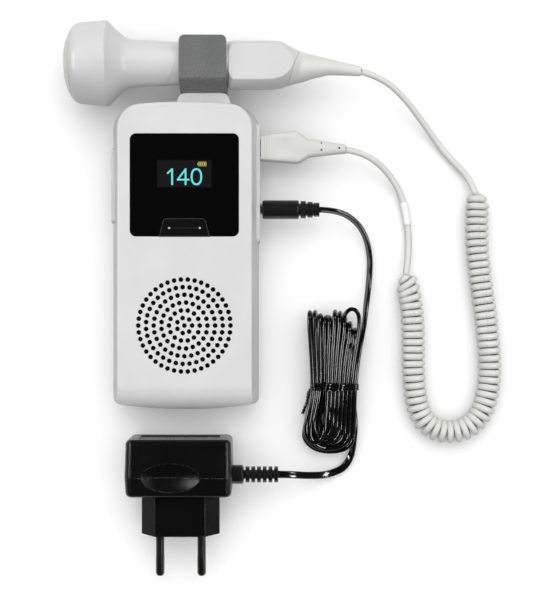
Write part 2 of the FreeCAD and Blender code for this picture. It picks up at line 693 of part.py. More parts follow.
def side_key(name, y, length):
    """Side key: cap, stem and the lip behind the wall."""
    wall_in = "case_width / 2 - wall"
    cap = key_tool(f"{name}_cap", y, length, "0", f"{wall_in} - key_travel - flange_thickness",
                   "case_width / 2 + panel_proud + key_rise")
    doc.recompute()
    face = -value("case_width / 2 + panel_proud + key_rise")
    dress("Fillet", cap, cap.Tip, lambda e: flat_at(e, 0, face), "panel_edge")
    lip = key_tool(f"{name}_lip", y, length, "key_lip", f"{wall_in} - key_gap - flange_thickness",
                   f"{wall_in} - key_gap")
    hole = key_tool(f"{name}_hole", y, length, "key_gap", f"{wall_in} - wall", "case_width")
    room = key_tool(f"{name}_room", y, length, "key_lip + key_gap / 2", f"{wall_in} - 2 * wall",
                    wall_in)
    node(name, join("Fuse", f"{name}_whole", cap, lip))
    return hole, room


def side_port(name, y, width, height, start, length, corner, grow="0"):
    """Bar on the right side for a socket."""
    body = new_body(name)
    corners = box_corners(y, "connector_z", f"{width} + 2 * ({grow})", f"{height} + 2 * ({grow})",
                          f"{corner} + ({grow})")
    pad(body, outline(body, "bar", corners, "YZ_Plane", start), length)
    return body


def trapezoid(grow="0"):
    """Outline of the power button, grown all round."""
    foot = "lens_y - lens_height / 2"
    side = f"({grow})"
    return [(f"-power_base / 2 - {side}", f"{foot} - {side}"),
            (f"power_base / 2 + {side}", f"{foot} - {side}"),
            (f"power_top / 2 + {side}", f"{foot} + power_height + {side}", f"power_corner + {side}"),
            (f"-power_top / 2 - {side}", f"{foot} + power_height + {side}", f"power_corner + {side}")]


# underside and top of the main board: the sockets hang against its underside
BOARD_LOW = "(connector_z + probe_socket_height / 2)"
BOARD_TOP = f"({BOARD_LOW} + board_thickness)"


def power_button():
    """Trapezoid cap in the foot of the lens, with the lip that keeps it under the face."""
    body = new_body("power_cap")
    lip_top = "case_depth - wall - key_gap"
    cap = pad(body, outline(body, "cap", trapezoid(), level=lip_top), "wall + key_gap + power_rise")
    top = value("case_depth + power_rise")
    dress("Fillet", body, cap, lambda e: flat_at(e, 2, top), "panel_edge / 2")
    lip = new_body("power_lip")
    pad(lip, outline(lip, "lip", trapezoid("flange"), level=f"{lip_top} - flange_thickness"),
        "flange_thickness")
    node("power_button", join("Fuse", "power_button_whole", body, lip))
    hole = new_body("power_hole")
    pad(hole, outline(hole, "hole", trapezoid("key_gap"), level="case_depth - wall - 1"), "wall + 4")
    switch = block("power_switch", ("-switch_size / 2", "lens_y - lens_height / 2 + switch_from_foot",
                                    BOARD_TOP),
                   ("switch_size / 2", "lens_y - lens_height / 2 + switch_from_foot + switch_size",
                    f"{lip_top} - flange_thickness - power_travel - fit_gap"))
    node("power_switch", switch)
    return hole


def display(power_hole):
    """Lens with its notch for the power button, the recess for it, and the display module."""
    lens = new_body("lens_plate")
    floor = "case_depth - lens_thickness"
    plate = pad(lens, outline(lens, "rim", box_corners(0, "lens_y", "lens_width", "lens_height",
                                                       "lens_corner"), level=floor),
                "lens_thickness")
    node("display_lens", join("Cut", "lens_whole", lens, power_hole))
    recess = new_body("lens_recess")
    pad(recess, outline(recess, "rim", box_corners(0, "lens_y", "lens_width + 2 * fit_gap",
                                                   "lens_height + 2 * fit_gap",
                                                   "lens_corner + fit_gap"), level=floor), "wall")
    window = block("window_opening",
                   ("-window_width / 2 - window_margin", "window_y - window_height / 2 - window_margin",
                    "case_depth - wall - 1"),
                   ("window_width / 2 + window_margin", "window_y + window_height / 2 + window_margin",
                    "case_depth"))
    top = "case_depth - wall - fit_gap"
    module = block("display_module",
                   ("-window_width / 2 - display_margin", "window_y - window_height / 2 - display_margin",
                    f"{top} - display_thickness"),
                   ("window_width / 2 + display_margin", "window_y + window_height / 2 + display_margin",
                    top))
    node("display_module", module)
    return recess, window


def grille(body):
    """Holes of the grille: one in the middle and rings that each add the same number."""
    middle_hole = disc(body, "middle_hole", "0", "grille_y", "grille_hole")
    pocket_through(body, middle_hole)
    for ring in range(1, int(value("grille_rings")) + 1):
        spot = disc(body, f"ring_{ring}", f"grille_pitch * {ring}", "0", "grille_hole")
        bind(spot, "AttachmentOffset.Base.y", "grille_y")
        hole = pocket_through(body, spot)
        pattern = body.newObject("PartDesign::PolarPattern", f"grille_ring_{ring}")
        pattern.Originals = [hole]
        pattern.Axis = (spot, ["N_Axis"])
        pattern.Angle = 360
        bind(pattern, "Occurrences", f"grille_step * {ring}")
        body.Tip = pattern


def corner_spots():
    return [(sx, sy) for sx in (-1, 1) for sy in (-1, 1)]


def covers():
    """Front and rear cover with everything that is let into them."""
    power_hole = power_button()
    recess, window = display(power_hole)
    port_panel, port_seat = side_panel("port_panel", "port_panel", 1)
    key_panel, key_seat = side_panel("key_panel", "key_panel", -1)
    keys = [side_key("mode_key", "mode_key_y", "mode_key_length"),
            side_key("volume_up_key", "volume_up_y", "volume_key_length"),
            side_key("volume_down_key", "volume_down_y", "volume_key_length")]
    key_holes, key_rooms = [list(tools) for tools in zip(*keys)]
    node("key_panel", join("Cut", "key_panel_whole", key_panel, *key_holes))
    port_holes = ports()
    node("port_panel", join("Cut", "port_panel_whole", port_panel, *port_holes))

    posts = [rod(f"post_{i}", f"({sx}) * post_x",
                 "board_low + post_inset" if sy < 0 else "board_high - post_inset", BOARD_TOP,
                 "post_diameter", f"case_depth - wall / 2 - {BOARD_TOP}")
             for i, (sx, sy) in enumerate(corner_spots(), 1)]
    bosses = [rod(f"front_boss_{i}", f"({sx}) * screw_x", f"({sy}) * screw_y", "parting_height",
                  "boss_diameter", "case_depth - wall / 2 - parting_height")
              for i, (sx, sy) in enumerate(corner_spots(), 1)]
    bores = [rod(f"front_bore_{i}", f"({sx}) * screw_x", f"({sy}) * screw_y", "parting_height",
                 "screw_shank", "screw_reach + fit_gap")
             for i, (sx, sy) in enumerate(corner_spots(), 1)]
    outer = front_form()
    shell = join("Cut", "front_shell", outer, front_void())
    filled = join("Fuse", "front_filled", shell, *posts, *bosses)
    blank = join("Cut", "front_blank", filled, recess, window, power_hole, port_seat, key_seat,
                 *key_holes, *key_rooms, *port_holes, *bores)
    body = doc.addObject("PartDesign::Body", "front_cover_body")
    body.BaseFeature = blank
    grille(body)
    node("front_cover", body)
    rear = rear_cover(port_seat, key_seat, key_holes + key_rooms + port_holes)
    return outer, rear


def ports():
    """Probe socket and power jack, hung against the board's underside."""
    face = "case_width / 2 + panel_proud"
    socket = side_port("socket_block", "probe_port_y", "probe_socket_width", "probe_socket_height",
                       f"{face} - probe_socket_depth", "probe_socket_depth", "socket_corner")
    cavity = side_port("socket_cavity", "probe_port_y", "tongue_width", "tongue_height",
                       f"{face} + plug_gap - tongue_reach - plug_gap", "tongue_reach + 1", "tongue_corner",
                       "fit_gap")
    node("probe_socket", join("Cut", "probe_socket_whole", socket, cavity))
    jack = side_port("jack_block", "power_port_y", "jack_width", "probe_socket_height",
                     f"{face} - jack_depth", "jack_depth", "socket_corner")
    bore = doc.addObject("Part::Cylinder", "jack_bore")
    bind(bore, "Radius", "barrel_diameter / 2 + fit_gap")
    bind(bore, "Height", "barrel_reach + 1")
    pin = doc.addObject("Part::Cylinder", "jack_pin")
    bind(pin, "Radius", "jack_pin / 2")
    bind(pin, "Height", "barrel_reach - 1")
    for item in (bore, pin):
        item.Placement = Placement(Vector(), Rotation(Vector(0, 1, 0), 90))
        bind(item, "Placement.Base.x", f"{face} - barrel_reach")
        bind(item, "Placement.Base.y", "power_port_y")
        bind(item, "Placement.Base.z", "connector_z")
    bored = join("Cut", "jack_bored", jack, bore)
    node("power_jack", join("Fuse", "power_jack_whole", bored, pin))
    return [side_port("socket_hole", "probe_port_y", "probe_socket_width", "probe_socket_height",
                      "case_width / 2 - wall - 4", "wall + 10", "socket_corner", "socket_gap"),
            side_port("jack_hole", "power_port_y", "jack_width", "probe_socket_height",
                      "case_width / 2 - wall - 4", "wall + 10", "socket_corner", "socket_gap")]


def rear_cover(port_seat, key_seat, holes):
    outer = rear_form()
    void = case_form("rear_void", "wall", "wall", "base_inset", "base_inset")
    shell = join("Cut", "rear_shell", outer, void)
    edge = "(door_width / 2 + door_tab + wall)"
    end = "-(case_length / 2 - base_inset - wall / 2)"
    ledge = block("door_ledge", (f"-{edge}", end, "wall / 2"),
                  (edge, "door_high + wall", "ledge_height"))
    bosses = [rod(f"rear_boss_{i}", f"({sx}) * screw_x", f"({sy}) * screw_y", "wall / 2",
                  "boss_diameter", "parting_height - wall / 2")
              for i, (sx, sy) in enumerate(corner_spots(), 1)]
    filled = join("Fuse", "rear_filled", shell, ledge, *bosses)
    opening = block("battery_opening",
                    ("-battery_width / 2 - battery_gap",
                     "battery_y - battery_length / 2 - battery_gap", "-1"),
                    ("battery_width / 2 + battery_gap",
                     "battery_y + battery_length / 2 + battery_gap", "ledge_height + 1"))
    tabs, rooms = door_tabs()
    tools = [opening, door_plate("door_slot", "door_gap", "-1", "case_length"), *rooms]
    for i, (sx, sy) in enumerate(corner_spots(), 1):
        spot = (f"({sx}) * screw_x", f"({sy}) * screw_y")
        tools.append(rod(f"head_hole_{i}", *spot, "-1", "screw_head + 2 * fit_gap",
                         "1 + screw_sink + screw_head_depth"))
        tools.append(rod(f"shank_hole_{i}", *spot, "0", "screw_shank + 2 * fit_gap",
                         "parting_height + 1"))
        head = rod(f"screw_{i}_head", *spot, "screw_sink", "screw_head", "screw_head_depth")
        shank = rod(f"screw_{i}_shank", *spot, "screw_sink + screw_head_depth", "screw_shank",
                    "parting_height + screw_reach - screw_sink - screw_head_depth")
        slot = block(f"screw_{i}_slot", (f"{spot[0]} - screw_head / 2", f"{spot[1]} - screw_slot / 2", "0"),
                     (f"{spot[0]} + screw_head / 2", f"{spot[1]} + screw_slot / 2",
                       "screw_sink + screw_slot_depth"))
        whole = join("Fuse", f"screw_{i}_plain", head, shank)
        node(f"case_screw_{i}", join("Cut", f"screw_{i}_whole", whole, slot))
    node("rear_cover", join("Cut", "rear_cover_whole", filled, *tools, port_seat, key_seat, *holes))
    plate = door_plate("door_plate", "0", "0", "case_length")
    door = join("Fuse", "door_plain", plate, *tabs)
    node("battery_door", join("Common", "battery_door_whole", door, outer))
    battery()
    return outer


def door_plate(name, grow, floor, end):
    """Door plate, or the slot for it when grown by the running gap."""
    half = f"(door_width / 2 + {grow})"
    return block(name, (f"-{half}", f"-({end})", floor),
                 (half, f"door_high + {grow}", f"door_thickness + {grow}"))


def tab_bar(name, pair, grow, slide, floor):
    """Pair of side tabs, or the room for it: grown by a gap and drawn out along the slide."""
    reach = f"(door_width / 2 + door_tab + {grow})"
    top = f"door_high - door_tab_first - door_tab_pitch * {pair}"
    return block(name, (f"-{reach}", f"{top} - door_tab_length - {grow} - ({slide})", floor),
                 (reach, f"{top} + {grow}", f"door_thickness + {grow}"))


def door_tabs():
    """Tabs of the door; the grooves that hold them, and the notches that let them drop out."""
    tabs, rooms = [], []
    for pair in range(2):
        under = "door_thickness - door_tab_thickness"
        tabs.append(tab_bar(f"tabs_{pair}", pair, "0", "0", under))
        rooms.append(tab_bar(f"groove_{pair}", pair, "door_gap", "door_travel",
                             f"{under} - door_gap"))
        notch = tab_bar(f"notch_{pair}", pair, "door_gap", "0", "-1")
        bind(notch, "Placement.Base.y", f"door_high - door_tab_first - door_tab_pitch * {pair}"
             " - door_tab_length - door_gap - door_travel")
        rooms.append(notch)
    return tabs, rooms


def battery():
    """Battery pack on the door, in its tray."""
    body = new_body("battery_body", y="battery_y")
    floor = "door_thickness + battery_gap"
    cells = outline(body, "section", box_corners(0, f"{floor} + battery_depth / 2",
                                                 "battery_width", "battery_depth",
                                                 "battery_corner"), "XZ_Plane")
    pad(body, cells, "battery_length", both_ways=True)
    node("battery_pack", body)
    half = "(battery_width / 2 + battery_gap)"
    low = "battery_y - battery_length / 2 - battery_gap"
    high = "battery_y + battery_length / 2 + battery_gap"
    solid = block("tray_solid", (f"-{half} - tray_wall", f"{low} - tray_wall", "ledge_height"),
                  (f"{half} + tray_wall", f"{high} + tray_wall", "battery_roof + tray_wall"))
    room = block("tray_room", (f"-{half}", low, "0"), (half, high, "battery_roof"))
    node("battery_tray", join("Cut", "battery_tray_whole", solid, room))


def speaker():
    """Speaker frame and magnet under the grille, and the dust cloth between."""
    node("speaker_cloth", rod("speaker_cloth", "0", "grille_y", "speaker_top",
                              "speaker_diameter - 2 * cloth_margin", "cloth_thickness"))
    body = new_body("speaker_body", y="grille_y", z="speaker_top")
    rim, magnet = "speaker_diameter / 2", "magnet_diameter / 2"
    cone_foot = "magnet_depth - speaker_depth + cone_floor"
    corners = [("0", "-speaker_depth"), (magnet, "-speaker_depth"),
               (magnet, "magnet_depth - speaker_depth"), (f"{rim} - speaker_flange", "-speaker_rim"),
               (rim, "-speaker_rim"), (rim, "0"), (f"{rim} - speaker_flange - speaker_wall", "0"),
               (f"{magnet} - cone_margin", cone_foot),
               ("0", cone_foot)]
    revolve(body, outline(body, "half", corners, "XZ_Plane"), "V_Axis")
    node("speaker", body)


def board():
    node("main_board", block("main_board", ("-board_width / 2", "board_low", BOARD_LOW),
                             ("board_width / 2", "board_high", BOARD_TOP)))


# ---------------------------------------------------------------- probe clip

def clip_bracket(front, rear):
    """Block that stands out of the top end and carries the clip."""
    body = new_body("bracket_body", x="bracket_x")
    base = "case_length / 2 - wall"
    tip = "case_length / 2 + bracket_reach"
    corners = [("-bracket_width / 2", base), ("bracket_width / 2", base),
               ("bracket_width / 2", "case_length / 2"),
               ("bracket_top_width / 2", tip, "bracket_corner"),
               ("-bracket_top_width / 2", tip, "bracket_corner"),
               ("-bracket_width / 2", "case_length / 2")]
    plate = pad(body, outline(body, "plan", corners, level="bracket_low"),
                "bracket_high - bracket_low")
    level, start = value("bracket_high"), value("case_length / 2")
    dress("Fillet", body, plate, lambda e: flat_at(e, 2, level) and middle(e).y > start,
          "bracket_edge")
    node("clip_bracket", join("Cut", "clip_bracket_whole", body, front, rear))


def probe_clip():
    """Spring clip: two arms and a bend that hold the probe's waist, open away from the case."""
    body = new_body("clip_body", x="bracket_x", y="probe_y", z="probe_z")
    back = "case_length / 2 + bracket_reach - probe_y"
    inner = "(waist_radius + clip_gap)"
    outer = f"({inner} + clip_arm)"
    bend = f"{inner} - clip_hair"
    corners = [("clip_reach", outer), ("-clip_bend", outer, "clip_bend_round"),
               (back, "bracket_high + clip_stand - probe_z", "clip_back_round"),
               (back, "-waist_radius / 2", "clip_foot"),
               (f"{back} + clip_foot", f"-{outer}", "clip_foot"), ("clip_reach", f"-{outer}"),
               ("clip_reach", f"-{inner}"), (f"-{inner}", f"-{inner}", bend),
               (f"-{inner}", inner, bend), ("clip_reach", inner)]
    section = outline(body, "section", corners, "YZ_Plane")
    arms = pad(body, section, "clip_width", both_ways=True)
    tip = value("clip_reach")
    tips = dress("Fillet", body, arms, lambda e: along(e, 2) and abs(middle(e).y - tip) < CLOSE,
                 "clip_tip_corner")
    doc.recompute()
    face = value(outer)
    dress("Chamfer", body, tips, lambda e: flat_at(e, 2, face) and not
          (along(e, 0) and middle(e).y < 0), "clip_edge")
    node("probe_clip", body)


# ---------------------------------------------------------------- probe

def probe_axis(name):
    return new_body(name, y="probe_y", z="probe_z")


def probe_front():
    """Acoustic window, transducer and the turned body: head, cone, handle and waist."""
    body = probe_axis("window_body")
    seat = "head_front_x + window_depth"
    window = [("head_front_x", "0"), ("head_front_x", "window_face_radius", "window_round"),
              ("head_front_x + window_bevel_depth", "head_front_radius - window_bevel",
               "window_round"), (seat, "head_front_radius - window_rim"), (seat, "0")]
    revolve(body, outline(body, "half", window))
    node("probe_window", body)
    disc_end = f"{seat} + transducer_depth"
    body = probe_axis("transducer_body")
    crystal = [(seat, "0"), (seat, "transducer_radius"), (disc_end, "transducer_radius"),
               (disc_end, "0")]
    revolve(body, outline(body, "half", crystal))
    node("probe_transducer", body)
    body = probe_axis("probe_turned")
    turned = [(disc_end, "0"), (disc_end, "transducer_radius"), (seat, "transducer_radius"),
              (seat, "head_front_radius - window_rim"),
              ("head_shoulder_x", "head_front_radius", "head_round"),
              ("head_rim_x", "head_radius", "rim_round"),
              ("head_rim_x + cone_step", "head_radius - cone_drop", "cone_round"),
              ("neck_x", "neck_radius", "neck_round"), ("waist_start_x", "handle_radius"),
              ("waist_start_x + waist_step", "waist_radius"), ("grip_start_x", "waist_radius"),
              ("grip_start_x", "0")]
    revolve(body, outline(body, "half", turned))
    node("probe_body", body)


def grip_section(body, name, level, scale="1", height="1", shift="0"):
    """Section of the grip: flat faces, a steep far side and a leaning near side."""
    far, near = "grip_top", "-grip_bottom"
    tall, corner = f"grip_height * {height}", f"grip_corner * {scale}"
    edge = f"grip_edge * {scale}"
    corners = [(f"{near} * {scale} + ({shift})", "0", corner),
               (f"-grip_face_near * {scale} + ({shift})", f"-{tall}", edge),
               (f"grip_face_far * {scale} + ({shift})", f"-{tall}", edge),
               (f"{far} * {scale} + ({shift})", "0", corner),
               (f"grip_face_far * {scale} + ({shift})", tall, edge),
               (f"-grip_face_near * {scale} + ({shift})", tall, edge)]
    return outline(body, name, corners, "YZ_Plane", level)


def round_section(body, name, level, radius, shift):
    return disc(body, name, shift, "0", f"2 * ({radius})", "YZ_Plane", level)


def probe_rear():
    """Grip and strain boot, parted by a leaning seam."""
    grip = probe_axis("grip_bar")
    pad(grip, grip_section(grip, "section", "grip_start_x"), "grip_end_x - grip_start_x")
    taper = probe_axis("grip_taper")
    loft(taper, [grip_section(taper, "start", "grip_end_x"),
                 grip_section(taper, "middle", "grip_neck_x", "grip_neck_scale",
                              "grip_neck_height_scale", "grip_neck_shift"),
                 grip_section(taper, "end", "seam_x + grip_end_reach", "grip_end_scale",
                              "grip_end_height_scale", "grip_end_shift")], False)
    boot = probe_axis("boot_taper")
    sections = [("seam_x - boot_lap", "boot_root_radius", "boot_root_shift"),
                ("seam_x + boot_seam_reach", "boot_seam_radius", "boot_seam_shift"),
                ("seam_x + boot_middle_reach", "boot_middle_radius", "boot_seam_shift"),
                ("seam_x + boot_neck_reach", "boot_neck_radius", "boot_neck_shift"),
                ("seam_x + boot_length", "boot_end_radius", "boot_end_shift")]
    loft(boot, [round_section(boot, f"ring_{i}", *section)
                for i, section in enumerate(sections)], False)
    knife = doc.addObject("Part::Box", "seam_block")
    for side in ("Length", "Width", "Height"):
        bind(knife, side, "case_length")
    knife.Placement = Placement(Vector(), Rotation(Vector(0, 0, 1), -value("seam_tilt")))
    half = "case_length / 2"
    bind(knife, "Placement.Base.x", f"seam_x - {half} * sin(seam_tilt)")
    bind(knife, "Placement.Base.y", f"probe_y - {half} * cos(seam_tilt)")
    bind(knife, "Placement.Base.z", f"probe_z - {half}")
    whole = join("Fuse", "grip_blank", grip, taper)
    node("probe_grip", join("Cut", "probe_grip_whole", whole, knife))
    node("probe_boot", join("Common", "probe_boot_whole", boot, knife))


# ---------------------------------------------------------------- plugs on the unit

def connector():
    """Probe connector: hood, tongue and tapered relief with three dimples."""
    body = new_body("hood_body", x="plug_x", y="probe_port_y")
    floor = "connector_z - hood_height / 2"
    end = "hood_length"
    hood = []
    for sign in (-1, 1):
        half = [("0", f"({sign}) * hood_start_width / 2"),
                ("hood_shoulder", f"({sign}) * hood_width / 2", "hood_round"),
                (end, f"({sign}) * relief_width / 2")]
        hood += half if sign < 0 else half[::-1]
    plate = pad(body, outline(body, "plan", hood, level=floor), "hood_height")
    levels = [value(floor), value(f"{floor} + hood_height")]
    dress("Fillet", body, plate, lambda e: any(flat_at(e, 2, z) for z in levels) and not
          along(e, 1), "hood_edge")
    node("connector_hood", body)
    tongue = side_port("connector_tongue", "probe_port_y", "tongue_width", "tongue_height",
                       "plug_x - tongue_reach", "tongue_reach", "tongue_corner")
    node("connector_tongue", tongue)
    body = new_body("relief_body", x="plug_x", y="probe_port_y", z="connector_z")
    sections = []
    for i, (place, wide, tall, shift) in enumerate((
            ("0", "relief_width", "relief_height", "0"),
            ("relief_length / 2", "(relief_width + relief_end) / 2",
             "(relief_height + relief_end) / 2", "relief_shift / 2"),
            ("relief_length", "relief_end", "relief_end", "relief_shift")), 1):
        corners = box_corners(shift, 0, wide, tall, f"relief_corner_share * {tall}")
        sections.append(outline(body, f"section_{i}", corners, "YZ_Plane", f"{end} + {place}"))
    loft(body, sections)
    dimples = []
    pair, last = "hood_length + dimple_first", "hood_length + dimple_last"
    for i, (place, offset) in enumerate(((pair, "dimple_side"), (pair, "-dimple_side"),
                                         (last, "relief_shift")), 1):
        dimples.append(rod(f"dimple_{i}", f"plug_x + {place}", f"probe_port_y + {offset}",
                           "connector_z + relief_end / 2 - dimple_depth", "dimple",
                           "relief_height"))
    node("connector_relief", join("Cut", "connector_relief_whole", body, *dimples))


def power_plug():
    """Power plug: metal barrel, round grip and three ribs."""
    place = {"x": "plug_x", "y": "power_port_y", "z": "connector_z"}
    body = new_body("barrel_body", **place)
    bore, barrel = "barrel_bore / 2", "barrel_diameter / 2"
    reach = "-barrel_reach"
    tube_half = [(reach, bore), ("plug_shoulder", bore), ("plug_shoulder", barrel),
                 (reach, barrel)]
    revolve(body, outline(body, "half", tube_half))
    node("plug_barrel", body)
    body = new_body("plug_grip_body", **place)
    grip, core = "grip_diameter / 2", "plug_neck / 2"
    back = "plug_shoulder + grip_length"
    profile = [("plug_shoulder", "0"), ("plug_shoulder", f"{grip} - plug_bevel"),
               ("plug_shoulder + plug_bevel", grip), (back, grip, "plug_round"), (back, core)]
    count = int(value("plug_ribs"))
    for rib in range(count):
        share = f"{rib} / (plug_ribs - 1)"
        tall = f"(plug_rib_first + (plug_rib_last - plug_rib_first) * {share}) / 2"
        near = f"{back} + plug_rib_pitch * {rib + 1} - plug_rib_width"
        profile += [(near, core), (near, tall), (f"{near} + plug_rib_width", tall)]
        if rib < count - 1:
            profile.append((f"{near} + plug_rib_width", core))
    profile.append((f"{back} + plug_rib_pitch * plug_ribs", "0"))
    revolve(body, outline(body, "half", profile))
    node("plug_grip", body)


# ---------------------------------------------------------------- wall adapter

def adapter_section(body, name, level, inset):
    """Section of the adapter across its plug direction."""
    corners = box_corners("adapter_left + adapter_width / 2", "adapter_height / 2",
                          f"adapter_width - 2 * ({inset})", f"adapter_height - 2 * ({inset})",
                          f"adapter_side_round - ({inset})")
    return outline(body, name, corners, "XZ_Plane", f"-({level})")


def adapter():
    """Two shells that lean in from their seam, wall-plug neck, pins and cord relief."""
    upper = new_body("adapter_upper")
    tall = loft(upper, [adapter_section(upper, "far", "adapter_top", "adapter_draft"),
                        adapter_section(upper, "seam", "adapter_seam", "0")])
    far = value("adapter_top")
    dress("Fillet", upper, tall, lambda e: flat_at(e, 1, far), "adapter_end_round")
    lower = new_body("adapter_lower")
    short = loft(lower, [adapter_section(lower, "seam", "adapter_seam", "0"),
                         adapter_section(lower, "far", "adapter_foot", "adapter_draft")])
    far_2 = value("adapter_foot")
    dress("Fillet", lower, short, lambda e: flat_at(e, 1, far_2), "adapter_end_round")

    scoop = doc.addObject("Part::Torus", "scoop")
    scoop.Placement = Placement(Vector(), Rotation(Vector(1, 0, 0), 90))
    long_way = "(scoop_width ^ 2 / 8 / scoop_depth + scoop_depth / 2)"
    short_way = "(scoop_length ^ 2 / 8 / scoop_depth + scoop_depth / 2)"
    bind(scoop, "Radius1", f"{long_way} - {short_way}")
    bind(scoop, "Radius2", short_way)
    for axis, text in zip("xyz", ("scoop_x", "adapter_seam",
                                  f"adapter_height - scoop_depth + {long_way}")):
        bind(scoop, f"Placement.Base.{axis}", text)
    panel = block("end_panel",
                  ("adapter_left + adapter_panel_margin", "adapter_top - adapter_panel_depth",
                   "adapter_panel_margin"),
                  ("adapter_left + adapter_width - adapter_panel_margin", "adapter_top + 1",
                   "adapter_height - adapter_panel_margin"))
    root = x_rod("collar_seat", "adapter_left + adapter_width - collar_root", "adapter_seam",
                 "adapter_height / 2", "collar_diameter", "collar_root + 1")
    node("adapter_shell", join("Cut", "adapter_shell_whole", upper, scoop, panel, root))

    neck = new_body("neck_body", x="neck_middle", z="adapter_height / 2")
    flat, side = "plug_flat / 2", "plug_width / 2"
    up, edge = "plug_thickness / 2", "plug_side / 2"
    corners = [(f"-{side}", f"-{edge}"), (f"-{flat}", f"-{up}"), (flat, f"-{up}"),
               (side, f"-{edge}"), (side, edge), (flat, up), (f"-{flat}", up), (f"-{side}", edge)]
    section = outline(neck, "section", corners, "XZ_Plane", "-adapter_foot")
    pad(neck, section, "plug_length")
    end = "adapter_foot - plug_length"
    trim = [("-plug_width", f"{end} + plug_end_slope * 2"), (f"-{side}", f"{end} + plug_end_slope"),
            (f"-{flat}", end), (flat, end), (side, f"{end} + plug_end_slope"),
            ("plug_width", f"{end} + plug_end_slope * 2"), ("plug_width", f"{end} - plug_length"),
            ("-plug_width", f"{end} - plug_length")]
    pocket_through(neck, outline(neck, "trim", trim))
    base = join("Fuse", "adapter_base_plain", lower, neck)
    pins = [adapter_pin(name, sign) for name, sign in (("left", -1), ("right", 1))]
    node("adapter_base", join("Cut", "adapter_base_whole", base, scoop, root, *pins))
    adapter_relief()


def x_rod(name, x, y, z, diameter, length):
    """Part::Cylinder that runs toward +X."""
    cylinder = doc.addObject("Part::Cylinder", name)
    cylinder.Placement = Placement(Vector(), Rotation(Vector(0, 1, 0), 90))
    bind(cylinder, "Radius", f"({diameter}) / 2")
    bind(cylinder, "Height", length)
    for axis, text in zip("xyz", (x, y, z)):
        bind(cylinder, f"Placement.Base.{axis}", text)
    return cylinder


def adapter_pin(name, sign):
    """Wall-plug pin with its sleeve; gives the bore that the neck gets for it."""
    place = {"x": f"neck_middle + ({sign}) * pin_spacing / 2",
             "y": "adapter_foot - plug_length", "z": "adapter_height / 2"}
    body = new_body(f"pin_{name}_body", **place)
    radius, core = "pin_diameter / 2", "pin_core / 2"
    metal = [("0", "-pin_length"), (radius, "-pin_length", f"{radius} - pin_point"),
             (radius, "-pin_sleeve"), (core, "-pin_sleeve"), (core, "0"), (radius, "0"),
             (radius, "pin_root"), ("0", "pin_root")]
    revolve(body, outline(body, "half", metal), "V_Axis")
    node(f"adapter_pin_{name}", body)
    body = new_body(f"sleeve_{name}_body", **place)
    skin = "pin_sleeve_diameter / 2"
    sleeve = [(core, "-pin_sleeve"), (skin, "-pin_sleeve"), (skin, "0"), (core, "0")]
    revolve(body, outline(body, "half", sleeve), "V_Axis")
    node(f"pin_sleeve_{name}", body)
    bore = new_body(f"pin_{name}_bore", **place)
    room = [("0", "-1"), (radius, "-1"), (radius, "pin_root"), ("0", "pin_root")]
    revolve(bore, outline(bore, "half", room), "V_Axis")
    return bore


def adapter_relief():
    """Round collar and a row of thin ribs on a core."""
    body = new_body("adapter_relief_body", x="adapter_left + adapter_width", y="adapter_seam",
                    z="adapter_height / 2")
    collar, rib, core = "collar_diameter / 2", "rib_diameter / 2", "rib_core / 2"
    profile = [("-collar_root", "0"), ("-collar_root", collar),
               ("collar_length", collar, "collar_round"), ("collar_length", core)]
    count = int(value("rib_count"))
    for i in range(count):
        near = f"collar_length + rib_pitch * {i + 1} - rib_width"
        profile += [(near, core), (near, rib), (f"{near} + rib_width", rib)]
        if i < count - 1:
            profile.append((f"{near} + rib_width", core))
    profile.append(("collar_length + rib_pitch * rib_count", "0"))
    revolve(body, outline(body, "half", profile))
    node("adapter_relief", body)


# ---------------------------------------------------------------- cords

# Route points of the cords, hand-laid on the table: X, Y, Z.
PROBE_LEAD = [(79.3, 83.2, 19.6), (88.5, 81.1, 17.4), (99.6, 73.0, 11), (109.4, 61.5, 5),
              (119.1, 48.4, 2), (130.0, 37.6, 3), (134.4, 29.4, 5.5)]
CURL = [(134.4, 29.4, 5.5), (133.2, 12.8, 5.5), (135.2, -9.3, 5.5), (138.9, -33.8, 5.5),
        (140.3, -59.2, 5.5), (134.3, -76.9, 5.5), (120.4, -82.2, 5.5), (107.7, -76.0, 5.5),
        (104.2, -56.9, 5.5), (104.6, -33.8, 5.5), (103.2, -18.6, 5.5), (100.8, -8.8, 5.5)]
SOCKET_LEAD = [(72.8, 48.6, 13), (79.0, 47.8, 12.6), (88.0, 43.2, 9.4), (95.2, 35.8, 5.2),
               (99.9, 27.0, 2.6), (102.4, 14.4, 1.8), (102.6, 2.4, 2.4), (100.8, -8.8, 5.5)]
SUPPLY_UPPER = [(60.8, 21.3, 13), (66.7, 21.2, 12.4), (74.7, 18.8, 9), (81.6, 12.2, 4.6),
                (84.9, 1.2, 2.2), (84.0, -12.9, 1.8), (81.2, -23.8, 2.2), (77.5, -33, 5)]
SUPPLY_LOWER = [(74.0, -77.5, 6), (78.4, -87.2, 2.6), (75.2, -96.6, 1.8), (65.6, -101.2, 2.2),
                (55.5, -100.7, 8), (48.4, -99.6, 12.8), (41.9, -99.3, 14)]

# Hank of the supply cord: Y, middle X, half width, half height of each section.
HANK = [(-26.4, 70.0, 5.0, 4.0), (-28.6, 67.8, 10.4, 6.0), (-34, 68.5, 13.1, 8.2),
        (-41, 68.9, 13.0, 8.6), (-50, 68.5, 11.4, 7.6), (-59.8, 68.0, 9.9, 6.2),
        (-68.5, 67.0, 11.3, 7.4), (-77.5, 65.7, 12.8, 8.2), (-84.5, 65.8, 11.3, 7.2),
        (-89, 67.4, 7.8, 5.6), (-90.8, 68.5, 5.0, 4.0)]
# its underside above the table, where the tie passes below it
HANK_REST = 1.3


